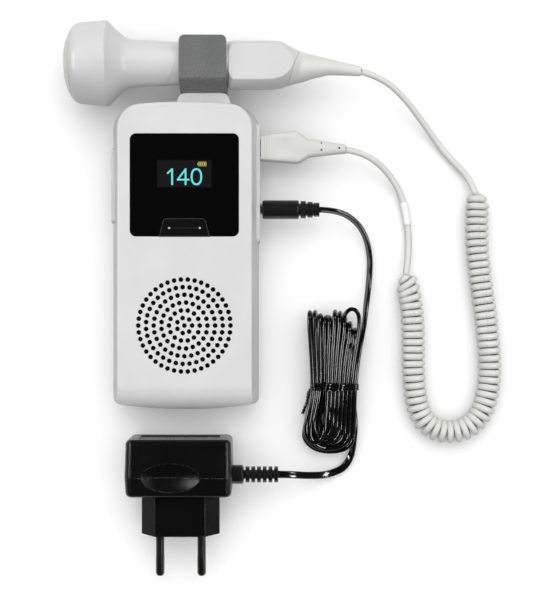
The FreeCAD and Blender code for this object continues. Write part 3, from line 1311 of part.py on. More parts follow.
def laid_path(route):
    """Straight runs joined by tangent arcs as large as the runs allow."""
    points = [Vector(*p) for p in route]
    edges, radii, last = [], [], points[0]
    for before, corner, after in zip(points, points[1:], points[2:]):
        back, on = (before - corner), (after - corner)
        take = 0.45 * min(back.Length, on.Length)
        back.normalize()
        on.normalize()
        half_turn = (math.pi - back.getAngle(on)) / 2
        radii.append(take / math.tan(half_turn))
        start, end = corner + back * take, corner + on * take
        inward = (back + on).normalize()
        bow = radii[-1] / math.cos(half_turn) - radii[-1]
        edges.append(Part.LineSegment(last, start).toShape())
        edges.append(Part.Arc(start, corner + inward * bow, end).toShape())
        last = end
    edges.append(Part.LineSegment(last, points[-1]).toShape())
    return Part.Wire(edges), radii


def tube(name, route, diameter):
    """Round solid along a route, its volume checked against section times length."""
    path, radii = laid_path(route)
    start = Vector(*route[0])
    run = Vector(*route[1]) - start
    ring = Part.Wire(Part.makeCircle(value(diameter) / 2, start, run))
    shape = path.makePipeShell([ring], True, False)
    expected = math.pi * value(diameter) ** 2 / 4 * path.Length
    print(f"{name}: length {path.Length:.0f}, volume {shape.Volume / expected:.4f} of expected,",
          "radii", [round(r) for r in radii])
    return shape


def solid(name, shape):
    """Finished shape as a sub-part."""
    feature = doc.addObject("Part::Feature", f"{name}_shape")
    feature.Shape = shape
    feature.Placement = Placement()
    return node(name, feature)


def ellipse_wire(y, x, z, across, up):
    """Upright ellipse across the hank."""
    curve = Part.Ellipse(Vector(x + across, y, z), Vector(x, y, z + up), Vector(x, y, z))
    return Part.Wire(curve.toShape())


def led_from(x, y, z, route):
    """Route whose first points keep their place to the piece that the cord leaves."""
    shift = Vector(value(x), value(y), value(z)) - Vector(*route[0])
    shares = [1, 1, 0.6, 0.3] + [0] * (len(route) - 4)
    return [tuple(Vector(*point) + shift * share) for point, share in zip(route, shares)]


def clear_of(shape, *labels):
    """Shape less the sub-parts that it touches."""
    for thing in nodes:
        if thing.Label in labels:
            shape = shape.cut(thing.Shape)
    return shape


def cords():
    """The two cords: straight leads, curly part and tied hank."""
    doc.recompute()
    upper = led_from("seam_x + boot_length", "probe_y + boot_end_shift", "probe_z", PROBE_LEAD)
    lower = led_from("plug_x + hood_length + relief_length", "probe_port_y + relief_shift",
                     "connector_z", SOCKET_LEAD)
    feed = led_from("plug_x + plug_shoulder + grip_length + plug_rib_pitch * plug_ribs",
                    "power_port_y", "connector_z", SUPPLY_UPPER)
    solid("probe_cord_curl", tube("probe_cord_curl", CURL, "coil_diameter"))
    solid("probe_cord_upper", clear_of(tube("probe_cord_upper", upper, "lead_diameter"),
                                       "probe_cord_curl", "probe_boot"))
    solid("probe_cord_lower", clear_of(tube("probe_cord_lower", lower, "lead_diameter"),
                                       "probe_cord_curl", "connector_relief"))
    wires = [ellipse_wire(y, x, up + HANK_REST, across, up) for y, x, across, up in HANK]
    solid("supply_hank", Part.makeLoft(wires, True, False))
    solid("supply_cord_upper", clear_of(tube("supply_cord_upper", feed, "supply_width"),
                                        "supply_hank", "plug_grip"))
    solid("supply_cord_lower", clear_of(tube("supply_cord_lower", SUPPLY_LOWER, "supply_width"),
                                        "supply_hank", "adapter_relief"))
    y, x, across, up = HANK[5]
    thick, wide, gap = value("tie_thickness"), value("tie_width"), value("tie_gap")
    outer, inner = [
        Part.Face(ellipse_wire(value("tie_y") - wide / 2, x, up + HANK_REST, across + grow,
                               up + grow)).extrude(Vector(0, wide, 0))
        for grow in (gap + thick, gap)]
    solid("hank_tie", outer.cut(inner))


# ---------------------------------------------------------------- build and export

def check_and_export():
    doc.recompute()
    for thing in doc.Objects:
        if "Invalid" in thing.State or "Error" in thing.State:
            raise RuntimeError(f"{thing.Name} failed: {thing.State}")
    os.makedirs("parts", exist_ok=True)
    for thing in nodes:
        shape = thing.Shape
        if shape.isNull() or not shape.isValid() or not shape.Solids:
            raise RuntimeError(f"{thing.Label} has no valid solid")
        print(f"{thing.Label}: {len(shape.Solids)} solid, {shape.Volume:.1f} mm3, "
              f"{len(shape.Faces)} faces")
        shape.exportStep(f"parts/{thing.Label}.step")


front, rear = covers()
board()
speaker()
clip_bracket(front, rear)
probe_clip()
probe_front()
probe_rear()
connector()
power_plug()
adapter()
cords()
check_and_export()
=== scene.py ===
import math
import bpy
import numpy as np
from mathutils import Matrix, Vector


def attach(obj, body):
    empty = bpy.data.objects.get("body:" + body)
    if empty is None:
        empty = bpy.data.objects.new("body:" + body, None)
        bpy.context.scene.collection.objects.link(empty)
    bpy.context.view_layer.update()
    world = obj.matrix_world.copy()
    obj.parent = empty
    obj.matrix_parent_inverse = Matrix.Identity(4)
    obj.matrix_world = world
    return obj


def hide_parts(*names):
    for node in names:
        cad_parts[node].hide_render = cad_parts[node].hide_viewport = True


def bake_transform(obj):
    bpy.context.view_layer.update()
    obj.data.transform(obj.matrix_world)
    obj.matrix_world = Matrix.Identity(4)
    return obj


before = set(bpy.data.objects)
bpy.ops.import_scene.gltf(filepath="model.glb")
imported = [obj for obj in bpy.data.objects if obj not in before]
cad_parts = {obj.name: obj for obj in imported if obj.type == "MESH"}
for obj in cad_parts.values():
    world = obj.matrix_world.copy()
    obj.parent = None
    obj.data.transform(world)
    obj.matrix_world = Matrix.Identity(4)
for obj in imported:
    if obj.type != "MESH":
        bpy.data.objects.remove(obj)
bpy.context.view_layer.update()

# Handheld fetal doppler monitor with its probe, curly cord and wall adapter, in metres.
# X to the sockets, Y to the probe, Z up; the unit lies on its back. Sizes below are in millimetres.

mm = 0.001
root = "case"

# camera and light
camera = {"place": (38.0, -19.9, 600.0), "lens": 77.2, "sensor": 36.0, "near": 10.0}
lampAim = (38, -20, 0)
# the wide lamp only lights, the small ones at the sides are only mirrored
softLights = {
    "over": {"place": (60, 500, 780), "size": (600, 600), "power": 1.3, "glints": False},
    "left": {"place": (-400, -20, 430), "size": (120, 110), "power": 0.9, "glints": True},
    "right": {"place": (480, -130, 430), "size": (120, 110), "power": 0.8, "glints": True},
    "farLeft": {"place": (-400, 187, 430), "size": (80, 80), "power": 0.8, "glints": True},
    "farRight": {"place": (480, 187, 430), "size": (80, 80), "power": 0.8, "glints": True},
}
# light and tilt of the dome, its share at the table and the height of the full share; what the camera
# sees; what is mirrored of the walls and overhead, and the heights between them
room = {"light": 1.29, "tilt": 0.53, "low": 0.08, "full": 0.7, "seen": 1.0,
        "mirrored": 0.05, "overhead": 0.015, "ceiling": (0.45, 0.9)}
materials = {}


def addObject(name, data):
    thing = bpy.data.objects.new(name, data)
    bpy.context.scene.collection.objects.link(thing)
    return thing


def feed(tree, node, sockets):
    # each socket, by name or number, gets its value or the output that leads to it
    for key, value in sockets.items():
        if isinstance(value, bpy.types.NodeSocket):
            tree.links.new(value, node.inputs[key])
        else:
            node.inputs[key].default_value = value


def addNode(tree, kind, sockets=None, **settings):
    node = tree.nodes.new("ShaderNode" + kind)
    for key, value in settings.items():
        setattr(node, key, value)
    feed(tree, node, sockets or {})
    return node


def remap(tree, value, given=(0, 1), wanted=(0, 1), **settings):
    # the value carried from one span to another
    ends = {"From Min": given[0], "From Max": given[1], "To Min": wanted[0], "To Max": wanted[1]}
    return addNode(tree, "MapRange", {"Value": value, **ends}, **settings).outputs["Result"]


def times(tree, a, b):
    return addNode(tree, "Math", {0: a, 1: b}, operation="MULTIPLY").outputs[0]


def scaled(tree, color, share):
    return addNode(tree, "VectorMath", {0: color, "Scale": share}, operation="SCALE").outputs["Vector"]


def either(middle, swing):
    return middle - swing, middle + swing


def newMaterial(name):
    mat = materials[name] = bpy.data.materials.new(name)
    mat.use_nodes = True
    return mat.node_tree, mat.node_tree.nodes["Principled BSDF"]


def addCamera(told):
    data = bpy.data.cameras.new("camera")
    data.lens = told["lens"]
    data.sensor_width = told["sensor"]
    data.clip_start = told["near"] * mm
    seen = addObject("camera", data)
    seen.location = Vector(told["place"]) * mm
    bpy.context.scene.camera = seen


def addLamp(name, told):
    data = bpy.data.lights.new(name, "AREA")
    data.shape = "RECTANGLE"
    data.size, data.size_y = told["size"][0] * mm, told["size"][1] * mm
    data.energy = told["power"]
    lamp = addObject(name, data)
    lamp.location = Vector(told["place"]) * mm
    aim = Vector(lampAim) * mm - lamp.location
    lamp.rotation_euler = aim.to_track_quat("-Z", "Y").to_euler()
    lamp.visible_glossy = told["glints"]
    lamp.visible_diffuse = not told["glints"]


def addWorld(told):
    # gathered light = level * (1 + tilt * y) * rise(z): more from the far side and from above
    world = bpy.data.worlds.new("studio")
    bpy.context.scene.world = world
    world.use_nodes = True
    tree = world.node_tree
    rays = addNode(tree, "LightPath").outputs
    way = addNode(tree, "TexCoord").outputs["Generated"]
    split = addNode(tree, "SeparateXYZ", {0: way}).outputs
    ceiling = remap(tree, split["Z"], told["ceiling"], (told["mirrored"], told["overhead"]),
                    interpolation_type="SMOOTHSTEP")
    far = remap(tree, split["Y"], (-1, 1), either(told["light"], told["light"] * told["tilt"]),
                clamp=False)
    rise = remap(tree, split["Z"], (0, told["full"]), (told["low"], 1),
                 interpolation_type="SMOOTHSTEP")
    level = remap(tree, rays["Is Glossy Ray"], wanted=(times(tree, far, rise), ceiling))
    level = remap(tree, rays["Is Camera Ray"], wanted=(level, told["seen"]))
    feed(tree, tree.nodes["Background"], {"Color": (1, 1, 1, 1), "Strength": level})


bpy.context.scene.view_settings.view_transform = "Standard"
addCamera(camera)
for name, told in softLights.items():
    addLamp(name, told)
addWorld(room)
print("camera and light")

# shared shader groups: share of the coarse grain, mottles and specks per metre, spans of the noises and
# of the bevel's cosine that places the painted edge highlight, and the swing of the roughness
skin = {"coarse": 0.5, "mottle": 60.0, "tone": (0.3, 0.7), "edge": (0.999, 0.90), "edgeSamples": 4,
        "specks": 2500.0, "speckSpan": (0.42, 0.62), "glintBreakSpan": (0.46, 0.6), "roughSwing": 0.15}


def newGroup(name, inputs, outputs):
    group = bpy.data.node_groups.new(name, "ShaderNodeTree")
    for way, sockets in (("INPUT", inputs), ("OUTPUT", outputs)):
        for label, kind in sockets.items():
            group.interface.new_socket(label, in_out=way, socket_type="NodeSocket" + kind)
    start = group.nodes.new("NodeGroupInput")
    return group, start.outputs, group.nodes.new("NodeGroupOutput")


def mouldGrainGroup():
    # spark-eroded skin: two sizes of noise added up to a height, and a slow mottle of tone
    group, start, end = newGroup("mouldGrain", {"Vector": "Vector", "Grain": "Float"},
                                 {"Height": "Float", "Tone": "Float"})
    where, scale = start["Vector"], start["Grain"]
    fine = addNode(group, "TexNoise", {"Vector": where, "Scale": scale, "Detail": 2.0}).outputs
    coarse = addNode(group, "TexVoronoi", {"Vector": where, "Scale": scale}).outputs
    both = addNode(group, "Math", {0: coarse["Distance"], 1: skin["coarse"], 2: fine["Fac"]},
                   operation="MULTIPLY_ADD").outputs
    slow = addNode(group, "TexNoise", {"Vector": where, "Scale": skin["mottle"], "Detail": 3.0}).outputs
    feed(group, end, {"Height": both[0], "Tone": slow["Fac"]})
    return group


def softEdgeGroup():
    # normal rounded over sharp edges, and a mask that is 1 where the rounding turns it; the finishes
    # paint highlights with the mask
    group, start, end = newGroup("softEdge", {"Radius": "Float"},
                                 {"Normal": "Vector", "Edge": "Float"})
    soft = addNode(group, "Bevel", {"Radius": start["Radius"]}, samples=skin["edgeSamples"]).outputs
    flat = addNode(group, "NewGeometry").outputs
    agree = addNode(group, "VectorMath", {0: soft["Normal"], 1: flat["Normal"]},
                    operation="DOT_PRODUCT").outputs["Value"]
    feed(group, end, {"Normal": soft["Normal"], "Edge": remap(group, agree, skin["edge"])})
    return group


def speckleGroup():
    # small pale and dark specks of a filled plastic
    group, start, end = newGroup("speckle", {"Vector": "Vector"}, {"Speck": "Float"})
    dots = addNode(group, "TexNoise", {"Vector": start["Vector"], "Scale": skin["specks"],
                                       "Detail": 1.0}).outputs["Fac"]
    feed(group, end, {"Speck": remap(group, dots, skin["speckSpan"])})
    return group


mouldGrain = mouldGrainGroup()
softEdge = softEdgeGroup()
speckle = speckleGroup()

# linear colour, swing of its tone, roughness, grain per metre and its depth, edge radius and the tone of
# the painted highlight on sharp edges; some with a specular level (gloss), metal, specks, or spots per
# metre that break up that painted highlight
finishColumns = ("color", "swing", "rough", "grain", "depth", "radius", "edge")
# the seventh column paints highlights into the colour along sharp edges: 40 on the adapter and 22 on the
# power button give bright painted edge lines
finishes = {
    "caseWhite": ((0.62, 0.622, 0.62), 0.03, 0.40, 5200, 0.012, 0.15, 1.03, {}),
    "clipGrey": ((0.140, 0.142, 0.142), 0.06, 0.42, 5200, 0.03, 0.4, 1.45, {"specks": 0.3}),
    "lensBlack": ((0.0022, 0.0022, 0.0024), 0.05, 0.06, 900, 0.002, 0.2, 1.5, {"gloss": 0.06}),
    "buttonBlack": ((0.005, 0.005, 0.0055), 0.05, 0.22, 3500, 0.01, 0.4, 22.0, {"gloss": 0.12}),
    "windowBlack": ((0.008, 0.008, 0.009), 0.04, 0.3, 3500, 0.002, 0.1, 1.0, {"gloss": 0.05}),
    "dotGrey": ((0.45, 0.45, 0.45), 0.05, 0.3, 3500, 0.004, 0.2, 1.0, {}),
    "keyGrey": ((0.50, 0.50, 0.49), 0.04, 0.55, 5000, 0.02, 0.3, 1.1, {}),
    "probeWhite": ((0.61, 0.61, 0.608), 0.02, 0.32, 4200, 0.006, 0.4, 1.02, {}),
    "windowIvory": ((0.62, 0.62, 0.585), 0.02, 0.26, 2500, 0.003, 0.4, 1.02, {}),
    "sleeveWhite": ((0.86, 0.865, 0.87), 0.02, 0.25, 2500, 0.003, 0.2, 1.02, {}),
    "hoodIvory": ((0.60, 0.60, 0.572), 0.03, 0.34, 2600, 0.01, 0.2, 1.02, {}),
    "slotGrey": ((0.03, 0.03, 0.03), 0.05, 0.3, 3500, 0.004, 0.2, 1.0, {}),
    "cordIvory": ((0.655, 0.655, 0.625), 0.04, 0.38, 2600, 0.012, 0.2, 1.02, {}),
    "cordBlack": ((0.0022, 0.0022, 0.0025), 0.1, 0.12, 2600, 0.006, 0.1, 1.3, {"gloss": 0.8}),
    "tieBlack": ((0.002, 0.002, 0.002), 0.1, 0.1, 1200, 0.03, 0.1, 1.0, {"gloss": 1.0}),
    "adapterBlack": ((0.0024, 0.0024, 0.0026), 0.1, 0.2, 3600, 0.06, 0.5, 40.0,
                     {"glintBreaks": 1400, "gloss": 0.4}),
    "reliefBlack": ((0.008, 0.008, 0.0085), 0.1, 0.22, 3600, 0.03, 0.3, 2.0, {"gloss": 0.6}),
    "pinMetal": ((0.15, 0.14, 0.125), 0.05, 0.18, 3000, 0.01, 0.3, 1.6, {"metal": 1.0}),
    "barrelMetal": ((0.6, 0.58, 0.55), 0.05, 0.2, 3000, 0.01, 0.3, 1.1, {"metal": 1.0}),
    "screwSteel": ((0.42, 0.42, 0.42), 0.05, 0.3, 3000, 0.01, 0.2, 1.1, {"metal": 1.0}),
    "boardGreen": ((0.03, 0.13, 0.06), 0.1, 0.3, 2500, 0.02, 0.2, 1.4, {}),
    "displayGlass": ((0.02, 0.02, 0.024), 0.03, 0.08, 900, 0.002, 0.2, 1.2, {}),
    "clothBlack": ((0.006, 0.006, 0.006), 0.2, 0.85, 2200, 0.3, 0.2, 1.0, {"gloss": 0.1}),
    "speakerPaper": ((0.03, 0.03, 0.03), 0.1, 0.7, 2500, 0.1, 0.3, 1.2, {}),
    "batteryWrap": ((0.09, 0.11, 0.14), 0.05, 0.3, 1500, 0.02, 0.3, 1.2, {}),
    "socketBlack": ((0.012, 0.012, 0.012), 0.1, 0.5, 3000, 0.05, 0.2, 1.4, {}),
}


def plastic(name, told):
    # tone = colour * (1 +- swing * mottle), times the tone of a painted highlight that makes sharp edges
    # paler; height from the mould's grain
    tree, shader = newMaterial(name)
    where = addNode(tree, "TexCoord").outputs["Object"]
    grain = addNode(tree, "Group", {"Vector": where, "Grain": told["grain"]},
                    node_tree=mouldGrain).outputs
    soft = addNode(tree, "Group", {"Radius": told["radius"] * mm}, node_tree=softEdge).outputs
    tone = remap(tree, grain["Tone"], skin["tone"], either(1, told["swing"]))
    if "specks" in told:
        dots = addNode(tree, "Group", {"Vector": where}, node_tree=speckle).outputs["Speck"]
        tone = times(tree, tone, remap(tree, dots, wanted=either(1, told["specks"])))
    # painted highlight: colour made paler along sharp edges where the bevel normal turns, broken up by
    # noise spots on some finishes
    edge = soft["Edge"]
    if "glintBreaks" in told:
        noise = {"Vector": where, "Scale": told["glintBreaks"], "Detail": 2.0}
        spots = addNode(tree, "TexNoise", noise).outputs["Fac"]
        edge = times(tree, edge, remap(tree, spots, skin["glintBreakSpan"]))
    tone = times(tree, tone, remap(tree, edge, wanted=(1, told["edge"])))
    rough = remap(tree, grain["Tone"], wanted=either(told["rough"], told["rough"] * skin["roughSwing"]))
    bump = addNode(tree, "Bump", {"Height": grain["Height"], "Normal": soft["Normal"],
                                  "Strength": 1.0, "Distance": told["depth"] * mm}).outputs["Normal"]
    feed(tree, shader, {"Base Color": scaled(tree, told["color"], tone), "Roughness": rough,
                        "Normal": bump, "Metallic": told.get("metal", 0.0),
                        "Specular IOR Level": told.get("gloss", 0.5)})


def glow(name, told):
    # lit dots of the display: emission with a slow unevenness
    tree, shader = newMaterial(name)
    where = addNode(tree, "TexCoord").outputs["Object"]
    noise = addNode(tree, "TexNoise", {"Vector": where, "Scale": told["grain"]}).outputs["Fac"]
    lit = scaled(tree, told["color"], remap(tree, noise, wanted=told["span"]))
    feed(tree, shader, {"Base Color": (0.01, 0.01, 0.01, 1), "Emission Color": lit,
                        "Emission Strength": 1.0})


for name, (*row, extras) in finishes.items():
    plastic(name, {**dict(zip(finishColumns, row)), **extras})
glow("digitCyan", {"color": (0.15, 0.74, 0.76), "grain": 900.0, "span": (0.9, 1.05)})
glow("batteryAmber", {"color": (0.60, 0.50, 0.11), "grain": 900.0, "span": (0.9, 1.05)})

nodeFinishes = {
    "caseWhite": ["front_cover", "rear_cover", "battery_door", "battery_tray", "key_panel",
                  "port_panel", "clip_bracket"],
    "clipGrey": ["probe_clip"],
    "lensBlack": ["display_lens"],
    "displayGlass": ["display_module"],
    "buttonBlack": ["power_button"],
    "keyGrey": ["mode_key", "volume_up_key", "volume_down_key"],
    "probeWhite": ["probe_body", "probe_grip"],
    "windowIvory": ["probe_window"],
    "cordIvory": ["probe_boot", "connector_hood", "connector_relief", "probe_cord_upper",
                  "probe_cord_curl", "probe_cord_lower"],
    "cordBlack": ["supply_cord_upper", "supply_cord_lower", "supply_hank"],
    "tieBlack": ["hank_tie"],
    "reliefBlack": ["plug_grip", "adapter_relief", "pin_sleeve_left", "pin_sleeve_right"],
    "adapterBlack": ["adapter_shell", "adapter_base"],
    "pinMetal": ["adapter_pin_left", "adapter_pin_right"],
    "barrelMetal": ["plug_barrel", "connector_tongue", "probe_transducer"],
    "screwSteel": ["case_screw_1", "case_screw_2", "case_screw_3", "case_screw_4"],
    "boardGreen": ["main_board"],
    "clothBlack": ["speaker_cloth"],
    "speakerPaper": ["speaker"],
    "batteryWrap": ["battery_pack"],
    "socketBlack": ["probe_socket", "power_jack", "power_switch"],
}
for finish, names in nodeFinishes.items():
    for name in names:
        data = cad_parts[name].data
        data.materials.clear()
        data.materials.append(materials[finish])
print("finishes")

# floor: half its side in metres, tone where it is seen and where it only sends light back, glow for
# the camera, and its level just under the pieces
floor = {"reach": 6.0, "tone": 0.90, "bounce": 0.10, "lift": 0.06, "level": -0.02, "rough": 0.9}


def addFloor(told):
    side = told["reach"]
    data = bpy.data.meshes.new("floor")
    corners = [(-side, -side, 0), (side, -side, 0), (side, side, 0), (-side, side, 0)]
    data.from_pydata(corners, [], [(0, 1, 2, 3)])
    plane = addObject("floor", data)
    plane.location.z = told["level"] * mm
    tree, shader = newMaterial("floor")
    rays = addNode(tree, "LightPath").outputs
    tone = remap(tree, rays["Is Diffuse Ray"], wanted=(told["tone"], told["bounce"]))
    grey = addNode(tree, "CombineXYZ", {0: tone, 1: tone, 2: tone}).outputs["Vector"]
    lift = times(tree, rays["Is Camera Ray"], told["lift"])
    feed(tree, shader, {"Base Color": grey, "Roughness": told["rough"], "Specular IOR Level": 0.0,
                        "Emission Color": (1, 1, 1, 1), "Emission Strength": lift})
    data.materials.append(materials["floor"])


addFloor(floor)
print("floor")


def outward(points, faces):
    # faces turned round where the volume that they close, seen from their middle, comes out negative
    points = np.asarray(points, float).reshape(-1, 3)
    corner = points - points.mean(0)
    quads = np.array([face for face in faces if len(face) == 4])
    a, b, c, d = (corner[quads[:, k]] for k in range(4))
    volume = (a * (np.cross(b, c) + np.cross(c, d))).sum()
    return faces if volume > 0 else [face[::-1] for face in faces]


def addPiece(name, points, faces, finish, body=root, smooth=True):
    # points in millimetres, already in place
    data = bpy.data.meshes.new(name)
    places = np.asarray(points, float).reshape(-1, 3) * mm
    data.from_pydata(places.tolist(), [], outward(points, faces))
    data.polygons.foreach_set("use_smooth", np.full(len(data.polygons), smooth))
    data.materials.append(materials[finish])
    data.update()
    piece = addObject(name, data)
    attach(piece, body)
    return piece


def gridFaces(rows, cols, wrapRows=False):
    # quads of closed rows of points, row after row; caps close the first and last row unless they meet
    i = np.arange(rows if wrapRows else rows - 1)[:, None]
    j = np.arange(cols)[None, :]
    a = i * cols + j
    b = i * cols + (j + 1) % cols
    c = ((i + 1) % rows) * cols + (j + 1) % cols
    d = ((i + 1) % rows) * cols + j
    faces = np.stack([a, b, c, d], -1).reshape(-1, 4).tolist()
    if not wrapRows:
        faces += [np.arange(cols)[::-1].tolist(), np.arange((rows - 1) * cols, rows * cols).tolist()]
    return faces


def gathered(parts):
    # stacks of rings as one list of points and faces; a part is (rings, whether its last meets its first)
    points, faces, start = [], [], 0
    for rings, closed in parts:
        rows, cols = rings.shape[:2]
        turned = outward(rings, gridFaces(rows, cols, wrapRows=closed))
        faces += [[k + start for k in face] for face in turned]
        points.append(rings.reshape(-1, 3))
        start += rows * cols
    return np.concatenate(points), faces


def spaced(rows):
    # places from single numbers and from runs of (start, end, how many)
    return np.concatenate([np.linspace(*row) if np.ndim(row) else [row] for row in rows])


def fullTurn(count):
    return np.linspace(0, 2 * math.pi, count, endpoint=False)


def unit(rows):
    return rows / np.linalg.norm(rows, axis=1)[:, None]


def travelled(points):
    # way along the points up to each of them
    return np.concatenate([[0], np.cumsum(np.linalg.norm(np.diff(points, axis=0), axis=1))])


def sampled(spots, along, points):
    # points at other spots of the way along them
    return np.stack([np.interp(spots, along, column) for column in points.T], 1)


def oval(turn, power):
    # unit superellipse: cos and sin of the turn, each to the power 2 / p with its sign kept
    return [np.sign(way) * np.abs(way) ** (2 / power) for way in (np.cos(turn), np.sin(turn))]


def ringProfile(radius, count):
    # circle: radius * cos and radius * sin of the turn
    turn = fullTurn(count)
    return radius * np.stack([np.cos(turn), np.sin(turn)], 1)


def smoothTable(places, table, soft):
    # a given table at new places: straight runs between its rows, then averaged over +-soft with a
    # cosine window of 11 samples
    table = np.asarray(table, float)
    shift = np.linspace(-1, 1, 11)
    weight = 1 + np.cos(shift * math.pi)
    spots = places[:, None] + shift[None, :] * soft
    return [(np.interp(spots, table[:, 0], column) * weight).sum(1) / weight.sum()
            for column in table.T[1:]]


def carryProfile(path, wide, profile):
    # point = path + a * wide + b * thin for each (a, b) of the profile, where thin = ahead x wide
    ahead = unit(np.gradient(path, axis=0))
    wide = unit(wide - (wide * ahead).sum(1)[:, None] * ahead)
    thin = np.cross(ahead, wide)
    return (path[:, None] + profile[None, :, :1] * wide[:, None]
            + profile[None, :, 1:] * thin[:, None])


def layLine(name, route, steps):
    # one open NURBS spline over given points, in metres
    data = bpy.data.curves.new(name, "CURVE")
    data.dimensions = "3D"
    data.resolution_u = steps
    spline = data.splines.new("NURBS")
    spline.points.add(len(route) - 1)
    flat = np.ones((len(route), 4))
    flat[:, :3] = np.asarray(route, float) * mm
    spline.points.foreach_set("co", flat.ravel())
    spline.order_u = 3
    spline.use_endpoint_u = True
    return addObject(name, data)


def shapeOf(line):
    # the line as Blender draws it, as a mesh
    bpy.context.view_layer.update()
    seen = line.evaluated_get(bpy.context.evaluated_depsgraph_get())
    return bpy.data.meshes.new_from_object(seen)


def readLine(line):
    # the points that the spline follows, in millimetres
    shape = shapeOf(line)
    points = np.empty(len(shape.vertices) * 3)
    shape.vertices.foreach_get("co", points)
    bpy.data.meshes.remove(shape)
    return points.reshape(-1, 3) / mm


def followed(name, route, steps):
    # lays the spline, reads the points that it follows and takes it away
    line = layLine(name, route, steps)
    points = readLine(line)
    bpy.data.objects.remove(line)
    return points


def asMesh(line, name, finish):
    # the bevelled line as a mesh piece
    data = shapeOf(line)
    bpy.data.objects.remove(line)
    data.materials.clear()
    data.materials.append(materials[finish])
    data.polygons.foreach_set("use_smooth", np.full(len(data.polygons), True))
    return addObject(name, data)


# probe connector: hood and relief in one moulding
probePlug = {
    "middle": (49.3, 13.0),
    # place, far and near half width, half height, squareness of the section
    "stations": [(34.0, 5.6, 5.65, 4.3, 7.0), (42, 6.65, 6.3, 4.3, 7.0), (48.5, 7.55, 6.9, 4.3, 6.4),
                 (50.2, 7.75, 7.05, 4.3, 6.0), (52, 6.9, 6.7, 4.1, 4.6), (54, 5.1, 5.6, 3.75, 3.4),
                 (55.8, 4.3, 4.35, 3.4, 2.8), (58, 3.95, 4.1, 3.2, 2.6), (64, 3.1, 3.4, 2.8, 2.4),
                 (70, 2.1, 2.75, 2.45, 2.2), (72.8, 1.75, 2.6, 2.3, 2.2)],
    "rows": [(34.0, 39.0, 44), (39.15, 56.8, 76), (57.2, 72.4, 26), 72.68, 72.8],
    "columns": 96, "soft": 1.3,
    # share of the section left at the first and the last two rows
    "ends": (0.97, 0.96, 0.88),
    # the oval dish: middle, half length and half width, depth, and how fast its floor rises
    "dish": (44.6, 0.2, 6.0, 4.4, 0.8, 1.5),
    # ribs across the face: first one, pitch, how many, depth
    "ribs": (35.6, 0.95, 3, 0.2),
    "dots": [(61.5, 1.95), (61.5, -1.0), (69.7, -0.1)],
    "dotRadius": 0.45, "dotSides": 14, "dotSpan": (-0.8, 0.03),
}


def plugSkin(told):
    # superellipse rows: y = half * cos^(2/p), z = high * sin^(2/p), less the dish and the ribs
    places = spaced(told["rows"])
    far, near, high, power = (column[:, None] for column in
                              smoothTable(places, told["stations"], told["soft"]))
    c, s = oval(fullTurn(told["columns"])[None, :], power)
    y = (far - near) / 2 + (far + near) / 2 * c
    z = high * s
    x = np.broadcast_to(places[:, None], y.shape)
    dishX, dishY, longWay, wideWay, deep, climb = told["dish"]
    q = np.clip(((x - dishX) / longWay) ** 2 + ((y - dishY) / wideWay) ** 2, 0, 1)
    upper = np.clip(z / high * 2 - 1, 0, 1)
    z = z - deep * (1 - q) ** climb * upper
    first, pitch, count, cutIn = told["ribs"]
    ribbed = np.abs(x - first - pitch * (count - 1) / 2) < pitch * count / 2
    wave = np.clip(np.cos((x - first) / pitch * 2 * math.pi), 0, 1) * ribbed
    z = z - cutIn * wave * upper
    share = np.ones(y.shape)
    share[0], share[-2], share[-1] = told["ends"]
    middleY, middleZ = told["middle"]
    return np.stack([x, middleY + y * share, middleZ + z * share], -1)


def plugDot(told, x, y):
    # a short rod that stands just clear of the skin at its place
    station = smoothTable(np.array([x]), told["stations"], told["soft"])
    far, near, high, power = (column[0] for column in station)
    off = abs((y - (far - near) / 2) / ((far + near) / 2))
    middleY, middleZ = told["middle"]
    top = middleZ + high * (1 - off ** power) ** (1 / power)
    ring = ringProfile(told["dotRadius"], told["dotSides"])
    flat = np.stack([x + ring[:, 0], y + middleY + ring[:, 1], ring[:, 0] * 0], 1)
    return np.stack([flat + np.array([0, 0, top + z]) for z in told["dotSpan"]]), False


def addProbePlug(told):
    skin = plugSkin(told)
    piece = addPiece("probePlug", skin, gridFaces(*skin.shape[:2]), "hoodIvory")
    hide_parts("connector_hood", "connector_relief")
    points, faces = gathered([plugDot(told, x, y) for x, y in told["dots"]])
    dots = addPiece("probePlugDots", points, faces, "socketBlack", smooth=False)
    return [piece, dots]


plugPieces = addProbePlug(probePlug)
print("probe plug")

